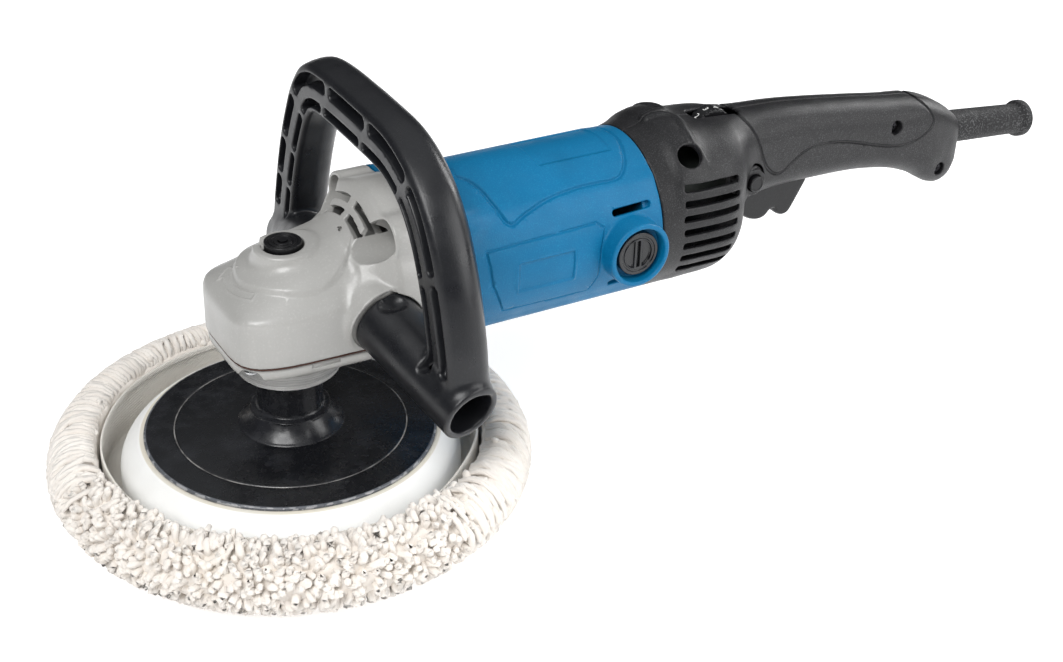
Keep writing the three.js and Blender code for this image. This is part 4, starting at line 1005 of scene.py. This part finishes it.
# ---- pad
def backing_disc():
    arc = [(77 - 1.2 * (1 - math.cos(a)), 40.9 + 1.1 * math.sin(a)) for a in np.linspace(0, math.pi / 2, 6)]
    profile = [(0, 38.2), (73.4, 38.2), (73.9, 38.7), (74, 39.9), (74.2, 40.2), (76.5, 40.2), (76.9, 40.4)] + arc
    profile += [(74, 42.15), (70, 42.5), (66, 42.9), (62.2, 43.3), (61.5, 43.3), (61.2, 43.0), (60.8, 43.0)]
    profile += [(60.5, 43.4), (59.8, 43.5), (54, 43.9), (45, 44.5), (36, 44.9), (27, 45.15), (12.3, 45.4)]
    profile += [(12.3, 40.7), (0, 40.7)]
    return lathe("disc_plate", profile, 256, sharp=50)


def hub(x, y, z):
    r, a = np.hypot(x, y), np.arctan2(y, x)
    heights = (45.1, 46, 47.5, 49.2, 51, 52.6, 53.8, 54.6, 55.4, 56.4, 79.5, 80.5)
    profile = np.interp(z, heights, (28.4, 26.9, 25.3, 23.9, 22.6, 21.6, 20.9, 20.5, 18.0, 17.4, 17.4, 16.4))
    profile = profile + 0.22 * np.cos(12 * a) * step(57 - z, 3)
    body = smax(r - profile, slab(z, 45.1, 80.5), 0.4)
    lip = smax(r - 20.9 - 0.3 * np.cos(6 * a), slab(z, 54.0, 54.8), 0.3)
    body = smin(body, lip, 0.4)
    body = smin(body, smax(r - 12, slab(z, 41, 46), 0.2), 0.2)
    return cut(body, smax(r - 7.3, 51.5 - z, 0.2), 0.4)


finish_piece(backing_disc(), DISC, "backing_disc", "drive_spindle")
finish_piece(carve("hub_sleeve", hub, (-30, -30, 40), (30, 30, 82), 0.4), HUB, "pad_hub", "drive_spindle")


def foam():
    rng = np.random.default_rng(5)
    profile = spline([
        (0, 14.5), (60, 14.5), (84, 14.6), (88, 15.1), (89.8, 17.4), (90, 21), (89.9, 25), (89.2, 28),
        (87.8, 31.2), (85.6, 34.3), (83, 37), (81, 38.8), (80, 39.6), (79, 40), (77.6, 40.05), (76, 40.05),
        (74.6, 40), (74.3, 39.7), (74.2, 37.9), (40, 37.9), (0, 37.9),
    ], 4)
    profile = profile[np.r_[True, np.linalg.norm(np.diff(profile, axis=0), axis=1) > 1e-3]]
    profile[0, 0] = profile[-1, 0] = 0
    obj = lathe("foam_block", np.maximum(profile, 0), 220, sharp=60)
    phases = rng.uniform(0, 6.28, 4)
    for v in obj.data.vertices:
        a, r = math.atan2(v.co.y, v.co.x), math.hypot(v.co.x, v.co.y) / MM
        if r > 79 and v.co.z > 0.015:
            sway = 0.22 * math.sin(3 * a + phases[0]) + 0.15 * math.sin(7 * a + phases[1])
            v.co.z += sway * MM * min(1, (r - 79) / 4)
    return obj


finish_piece(foam(), FOAM, "foam_pad", "drive_spindle")


THREADS = 1.1  # width of a thread pair


def rim_sway(a):
    """How far the canvas rim leans in or out, and up or down, round the cup."""
    lean = 0.9 * np.sin(2 * a + 0.4) + 0.55 * np.sin(5 * a + 1.9) + 0.35 * np.sin(9 * a + 0.3)
    lift = 0.5 * np.sin(3 * a + 2.2) + 0.3 * np.sin(7 * a + 0.8)
    return lean, lift


def canvas():
    """The cup of the bonnet: a thin sheet with a floor, a wall and a turned hem, open at the top."""
    path = [(0.0, 12.0), (20, 12), (50, 12), (80, 12), (94, 12), (98.2, 12.5), (CUP_R, 14.5)]
    path += [(CUP_R, z) for z in np.linspace(16, 39.2, 14)]
    path = np.array(path + [(99.2, 40.0), (98.7, 40.3), (98.3, 40.0), (98.25, 38.6), (98.3, 37.2)])
    count = 288
    a = 2 * np.pi * np.arange(count + 1) / count
    lean, lift = rim_sway(a)
    verts, uvs = [], []
    for (r, z), s in zip(path, lengths(path)):
        up = np.clip((z - 20) / 20, 0, 1) ** 1.5 * (r > 95)
        verts.append(polar(r + lean * up, a, z + lift * up))
        uvs.append(np.stack([a * CUP_R / THREADS, np.full_like(a, s / THREADS)], -1))
    faces = [(a, d, c, b) for a, b, c, d in grid_faces(len(path), count + 1)]
    return build_mesh("canvas_sheet", np.vstack(verts), faces, uvs=np.vstack(uvs))


cup = finish_piece(canvas(), CANVAS, "canvas_cup", "drive_spindle")


# ---- wool
ROOT_DEPTH = 3.5  # how deep the tufts are rooted in the backing
FRONT = math.radians(-122)  # the side where the pile stands upright, elsewhere it is combed outwards


def upright(a):
    """1 on the side where the pile stands up, 0 where it is combed."""
    return np.clip((np.cos(a - FRONT) - 0.36) / 0.3, 0, 1)


CORE = spline([
    (0, 2.2), (60, 2.2), (88, 2.2), (97, 3), (104, 5.4), (111, 10), (117, 16), (120.6, 23), (120.4, 29.5),
    (117.5, 35), (112.5, 38.6), (107.5, 39.6), (103.6, 38.6), (101.4, 36), (100.75, 31), (100.7, 24),
    (100.7, 12.5), (100.4, 11.2), (99, 10.9), (60, 10.9), (0, 10.9),
], 10)
CORE_LENGTH = lengths(CORE)
OUTLINE = np.array([
    (0, 100), (2.5, 109), (7, 116), (12, 121.5), (18, 125.6), (25, 127.8), (32, 126.8), (39, 122.5), (43, 117),
    (46, 108),
])


def tufts(s, a, r, size, seed):
    """Rounded bumps, one for each cell of a jittered grid over arc length s and angle a at radius r."""
    rng = np.random.default_rng(seed)
    jitter = rng.uniform(-0.42, 0.42, (128, 1024, 2))
    tall = rng.uniform(0.55, 1.0, (128, 1024))
    rows = np.floor(s / size).astype(int)
    best = np.zeros_like(s)
    count = np.maximum(np.round(2 * np.pi * r / size), 3).astype(int)
    place_in_row = a / (2 * np.pi) * count
    for dr in (-1, 0, 1):
        row = rows + dr
        for da in (-1, 0, 1):
            cell = (np.floor(place_in_row).astype(int) + da) % count
            j = jitter[row % 128, cell % 1024]
            ds = s - (row + 0.5 + j[..., 0]) * size
            across = (place_in_row - np.floor(place_in_row) - da - 0.5 - j[..., 1]) * size
            d = np.sqrt(ds**2 + across**2) / (0.78 * size)
            best = np.maximum(best, tall[row % 128, cell % 1024] * np.sqrt(np.clip(1 - d * d, 0, 1)))
    return best


def wool_core():
    count, total = 520, CORE_LENGTH[-1]
    at = np.unique(np.r_[np.arange(0, total, 1.7), total])
    r, z = (np.interp(at, CORE_LENGTH, CORE[:, k]) for k in (0, 1))
    tangent = unit(np.stack([np.gradient(r, at), np.gradient(z, at)], -1))
    out_r, out_z = tangent[:, 1], -tangent[:, 0]
    keep = (r > 2) | (at == 0) | (at == total)
    at, r, z, out_r, out_z = at[keep], r[keep], z[keep], out_r[keep], out_z[keep]
    a = circle(count)
    grid_s, grid_a = np.meshgrid(at, a, indexing="ij")
    grid_r = np.repeat(r[:, None], count, 1)
    bump = tufts(grid_s, grid_a, np.maximum(grid_r, 4), 4.6, 3)
    hidden = (r < 101.5) & (z > 8)
    lift = np.where(hidden[:, None], 0, bump * 2.0 - 0.4)
    rr, zz = grid_r + lift * out_r[:, None], z[:, None] + lift * out_z[:, None]
    zz = np.maximum(zz, 0.15)
    verts = [(0, 0, z[0])]
    for k in range(1, len(at) - 1):
        verts += polar(rr[k], a, zz[k]).tolist()
    verts.append((0, 0, z[-1]))
    rings = len(at) - 2
    faces = []
    for i in range(count):
        j = (i + 1) % count
        faces.append((0, 1 + j, 1 + i))
        faces += [
            (1 + k * count + i, 1 + k * count + j, 1 + (k + 1) * count + j, 1 + (k + 1) * count + i)
            for k in range(rings - 1)
        ]
        faces.append((1 + (rings - 1) * count + i, 1 + (rings - 1) * count + j, rings * count + 1))
    obj = build_mesh("wool_backing", verts, faces)
    bump = bump[1:-1].ravel()
    # tip and shade follow the tufts' height: the yarn look paints shade in the gaps between them and a highlight on
    # their tops
    write_attribute(obj, "tip", np.r_[0.3, 0.15 + bump * 0.6, 0.3])
    write_attribute(obj, "shade", np.r_[0.2, bump * 0.5, 0.2])
    return obj


def write_attribute(obj, name, values):
    layer = obj.data.attributes.new(name, "FLOAT", "POINT")
    layer.data.foreach_set("value", np.asarray(values, np.float32))


def along(points):
    """Stations on a strand, closer together at its round end."""
    return np.r_[np.linspace(0, 0.92, points - 1), 1]


def strands(name, paths, radii, shades, root):
    """One mesh of tapered round-ended strands. paths is (strand, point, 3) in millimetres."""
    count, points, _ = paths.shape
    sides = 5
    tangent = unit(np.gradient(paths, axis=1))
    side = unit(np.cross(tangent, np.array([0.13, 0.21, 0.97])))
    over = np.cross(tangent, side)
    t = along(points)
    swell = np.interp(t, (0, 0.3, 0.7, 0.92, 1), (0.75, 1, 1.08, 0.98, 0.66))
    turn = circle(sides)
    ring = side[:, :, None] * np.cos(turn)[:, None] + over[:, :, None] * np.sin(turn)[:, None]
    verts = paths[:, :, None] + ring * (radii[:, None] * swell[None])[:, :, None, None]
    tips = paths[:, -1] + tangent[:, -1] * radii[:, None] * 0.4
    body = verts.reshape(-1, 3)
    first = np.arange(count)[:, None] * points * sides
    quads = np.array(grid_faces(points, sides, closed=True))[:, [0, 3, 2, 1]]
    quads = (quads + first[..., None]).reshape(-1, 4)
    k, s = np.meshgrid(np.arange(count), np.arange(sides), indexing="ij")
    last = first + (points - 1) * sides
    caps = np.stack([last + s, last + (s + 1) % sides, len(body) + k], -1).reshape(-1, 3)
    roots = first + s[:, ::-1]
    length = np.r_[np.tile(np.repeat(t, sides), count), np.ones(count)]
    around = np.r_[np.tile(np.arange(sides) / sides, count * points), np.zeros(count)]
    reach = np.linalg.norm(paths[:, -1] - paths[:, 0], axis=1).mean()
    uvs = np.stack([around, length * reach / 9], -1)
    obj = build_mesh(name, np.vstack([body, tips]), quads.tolist() + caps.tolist() + roots.tolist(), uvs=uvs)
    # tip climbs from root at the root to 1 at the end; the yarn look paints shade on its low end
    write_attribute(obj, "tip", root + (1 - root) * length)
    write_attribute(obj, "shade", np.r_[np.repeat(shades, points * sides), shades])
    return obj


def combed():
    """Long strands laid outwards from the cup's rim, drooping over the edge on the sides away from FRONT."""
    rng = np.random.default_rng(11)
    rows = []
    for start_r, start_z, count, reach, top in (
        (100.9, 33.5, 380, 27, 43.5), (102, 31, 370, 29, 41.0), (104, 28, 350, 27, 36), (105, 23, 320, 24, 29),
    ):
        a = 2 * np.pi * (np.arange(count) + rng.uniform(-0.45, 0.45, count)) / count
        a = a[rng.uniform(0, 1, count) < 1 - upright(a)]
        n = len(a)
        sway = rng.normal(0, 0.035, n) + 0.05 * np.sin(5 * a + 1) + 0.03 * np.sin(13 * a)
        long = reach * rng.uniform(0.82, 1.08, n)
        crest = top + rng.normal(0, 1.0, n) + 0.8 * np.sin(4 * a + 0.6)
        t = along(8)
        r = start_r + long[:, None] * np.interp(t, (0, 0.14, 0.45, 0.8, 1), (0, 0.10, 0.5, 0.9, 1.0))
        droop = 16 * rng.uniform(0.6, 1.15, n)
        z = start_z + (crest - start_z)[:, None] * np.interp(t, (0, 0.14, 0.3, 0.55, 1), (0, 0.75, 1, 1, 1))
        z = z - droop[:, None] * np.interp(t, (0, 0.5, 0.8, 1), (0, 0.06, 0.5, 1))
        paths = polar(r, a[:, None] + sway[:, None] * t**1.3, z)
        rows.append((paths, rng.uniform(1.4, 2.0, n), rng.uniform(0, 1, n)))
    return [np.concatenate(c) for c in zip(*rows)]


def pile():
    """Short full tufts over the outside and the front, their ends standing out of the skin."""
    rng = np.random.default_rng(29)
    first = CORE_LENGTH[np.argmax(CORE[:, 0] > 113)]
    last = CORE_LENGTH[np.argmax((CORE[:, 0] < 101.2) & (CORE[:, 1] > 30))]
    rows = []
    for s in np.arange(first, last, 3.2):
        (r0, r1), (z0, z1) = (np.interp((s, s + 0.5), CORE_LENGTH, CORE[:, k]) for k in (0, 1))
        out = math.atan2(-(r1 - r0), z1 - z0)
        count = int(2 * np.pi * r0 / 3.5)
        a = 2 * np.pi * (np.arange(count) + rng.uniform(-0.5, 0.5, count)) / count
        top = np.clip((z0 - 16) / 8, 0, 1)
        a = a[rng.uniform(0, 1, count) < 1 - 0.97 * top * (1 - upright(a))]
        n = len(a)
        inward = top * upright(a)
        lean = out + rng.normal(0, 0.2, n) + 0.3 * inward - 0.3 * (1 - top)
        reach = rng.uniform(4.4, 6.6, n) + 1.6 * inward
        start_r = r0 - ROOT_DEPTH * math.cos(out) + rng.normal(0, 0.5, n)
        start_z = z0 - ROOT_DEPTH * math.sin(out) + rng.normal(0, 0.5, n)
        t = along(5)
        span = (ROOT_DEPTH + reach)[:, None] * t
        curl = rng.normal(0, 0.25, n)[:, None] * t
        r = start_r[:, None] + span * np.cos(lean[:, None] + curl)
        z = start_z[:, None] + span * np.sin(lean[:, None] + curl) - 0.8 * t**2
        swing = rng.normal(0, 0.028, n)[:, None] * t
        rows.append((polar(r, a[:, None] + swing, z), rng.uniform(1.6, 2.25, n), rng.uniform(0, 1, n)))
    return [np.concatenate(c) for c in zip(*rows)]


def settle(paths, radii):
    """Keeps strands above the floor, inside the bonnet's outline and out of the cup."""
    x, y, z = np.moveaxis(paths, -1, 0)
    thick = radii[:, None]
    z = np.maximum(z, thick * 1.1 + 0.1)
    r = np.minimum(np.hypot(x, y), np.interp(z, *OUTLINE.T) - thick * 0.8)
    rim = 100.9 + thick + 0.5 * np.maximum(36 - z, 0) ** 0.3
    r = np.where(z < 42.3 + thick, np.maximum(r, np.minimum(rim, 102.6)), r)
    return polar(r, np.arctan2(y, x), z)


backing = finish_piece(wool_core(), YARN, "wool_bonnet", "drive_spindle")
# root is the tip value at a strand's root: the lower it is, the more painted shade at the root
for name, (paths, radii, shades), root in (("wool_strands", combed(), 0.45), ("wool_tufts", pile(), 0.1)):
    piece = strands(name, settle(paths, radii), radii, shades, root)
    piece.data.materials.append(YARN.mat)
    piece.parent = backing


# ---- screws
def screw(name, at, direction, radius, height, shank, length):
    """Domed cross head and shank in one piece, seated at a point with its crown towards direction."""
    def whole(x, y, z):
        r = np.hypot(x, y)
        head = smax(r - radius, slab(z, 0, height), 0.5)
        head = smax(head, np.sqrt(x**2 + y**2 + (z + 2.2 * radius - height) ** 2) - 2.2 * radius, 0.3)
        slots = [smax(np.abs(v) - 0.5, np.abs(w) - radius * 0.62, 0.2) for v, w in ((x, y), (y, x))]
        head = cut(head, smax(np.minimum(*slots), height * 0.45 - z + 0.25 * r, 0.2), 0.25)
        thread = 0.18 * np.cos(2 * np.pi * (z / 0.9 + np.arctan2(y, x) / (2 * np.pi)))
        stem = smax(r - shank + 0.15 - thread * step(z + 1.5, 1), slab(z, -length, 0.3), 0.3)
        return smin(head, stem, 0.3)

    top = radius + 1
    return aim(carve(name, whole, (-top, -top, -length - 1), (top, top, height + 1), 0.28), direction, at)


SCREWS = [
    ("retainer", "1234", [(x, y, 94) for x, y in RETAINER_SCREWS], (0, 0, -1), (4, 2.6, 2.15, 17.4), STEEL),
    ("gearcase", "1234", [(56.6, y, z) for y, z in FLANGE_SCREWS], (-1, 0, 0), (4, 3.6, 2.15, 23), DARK),
    ("handle", ("front", "rear"), [(x, -11.8, z) for x, z in GRIP_SCREWS], (0, -1, 0), (3.6, 2.4, 1.6, 25), DARK),
    ("rear", ("near", "far"), [(204.8, y, z) for y, z in REAR_SCREWS], (1, 0, 0), (3.7, 2.6, 1.8, 20.5), DARK),
]  # kind, names, seats, crown direction, sizes (head radius and height, shank radius and length), look
for kind, names, seats, direction, sizes, look in SCREWS:
    for name, at in zip(names, seats):
        finish_piece(screw(f"{kind}_screw_cover_{name}", at, direction, *sizes), look, f"{kind}_screw_{name}")


# ---- finishes of the CAD nodes that stay
NODE_LOOKS = {
    STEEL: [
        "spindle", "crown_gear", "bevel_pinion", "armature_shaft", "spindle_lower_bearing", "spindle_upper_bearing",
        "front_motor_bearing", "rear_motor_bearing", "trigger_pin",
    ],
    DARK: ["loop_bolt_near", "loop_bolt_far", "lock_pin"],
    LAMINATION: ["stator_core", "armature_core"],
    COPPER: ["field_coil_upper", "field_coil_lower", "armature_winding", "commutator"],
    BRASS: ["brush_holder_near", "brush_holder_far"],
    CARBON: ["carbon_brush_near", "carbon_brush_far"],
    TRIM: ["cooling_fan", "air_baffle", "cord_clamp"],
    POTTING: ["switch_body", "speed_controller"],
    HOOK: ["hook_sheet"],
}
for look, names in NODE_LOOKS.items():
    for name in names:
        node = frame["nodes"][name]
        node.data.materials.clear()
        node.data.materials.append(look.mat)


# ---- floor, light and camera
def floor():
    line = np.linspace(-3500, 3500, 3)
    verts = [(x + 150, y, 0) for x in line for y in line]
    obj = build_mesh("studio_floor", verts, grid_faces(len(line), len(line)))
    look = Look("floor_paper", (0.86, 0.86, 0.86), 0.9, spec=0.05)
    look.tint((0.84, 0.84, 0.845), look.band(look.noise(3, 2), 0.4, 0.6))
    look.bsdf.inputs["Emission Color"].default_value = (1, 1, 1, 1)
    look.bsdf.inputs["Emission Strength"].default_value = 0.45
    obj.data.materials.append(look.mat)


def world():
    """Soft overhead light that falls off towards the horizon."""
    sky = bpy.data.worlds.new("studio")
    bpy.context.scene.world = sky
    sky.use_nodes = True
    nodes, links = sky.node_tree.nodes, sky.node_tree.links
    coord = nodes.new("ShaderNodeTexCoord")
    split = nodes.new("ShaderNodeSeparateXYZ")
    ramp = nodes.new("ShaderNodeMapRange")
    for socket, value in (("From Min", 0.45), ("From Max", 0.95), ("To Min", 0.05), ("To Max", 0.75)):
        ramp.inputs[socket].default_value = value
    links.new(coord.outputs["Generated"], split.inputs["Vector"])
    links.new(split.outputs["Z"], ramp.inputs["Value"])
    links.new(ramp.outputs["Result"], nodes["Background"].inputs["Strength"])
    nodes["Background"].inputs["Color"].default_value = (0.97, 0.985, 1, 1)


def lamp(name, at, size, watts):
    """Area light turned towards the middle of the machine."""
    light = bpy.data.lights.new(name, "AREA")
    light.shape = "RECTANGLE"
    light.size, light.size_y = size
    light.energy = watts
    obj = place(name, light)
    obj.location = at
    obj.rotation_euler = (Vector((0.12, 0, 0.08)) - Vector(at)).to_track_quat("-Z", "Y").to_euler()


def camera():
    """The view of the photograph, from the point it looks at, its distance, angles and focal length."""
    target = Vector((146.512, 0, 59.026)) * MM
    azimuth, elevation, roll = (math.radians(v) for v in (-31.079, 30.275, 1.977))
    back = Vector((
        math.sin(azimuth) * math.cos(elevation), -math.cos(azimuth) * math.cos(elevation), math.sin(elevation),
    ))
    right = Vector((math.cos(azimuth), math.sin(azimuth), 0))
    up = back.cross(right)
    r = right * math.cos(roll) + up * math.sin(roll)
    u = up * math.cos(roll) - right * math.sin(roll)
    data = bpy.data.cameras.new("camera")
    data.lens, data.sensor_width = 58.1, 36
    obj = place("camera", data)
    turn = Matrix((r, u, back)).transposed().to_4x4()
    obj.matrix_world = Matrix.Translation(target + back * 0.966233) @ turn
    bpy.context.scene.camera = obj


floor()
world()
camera()
lamp("key", (-0.8, -0.7, 1.3), (0.9, 0.9), 22)
lamp("fill", (1.0, -1.1, 0.75), (1.2, 1.0), 14)
lamp("rim", (1.7, 0.25, 0.8), (0.5, 1.0), 12)
bpy.context.scene.view_settings.view_transform = "Standard"
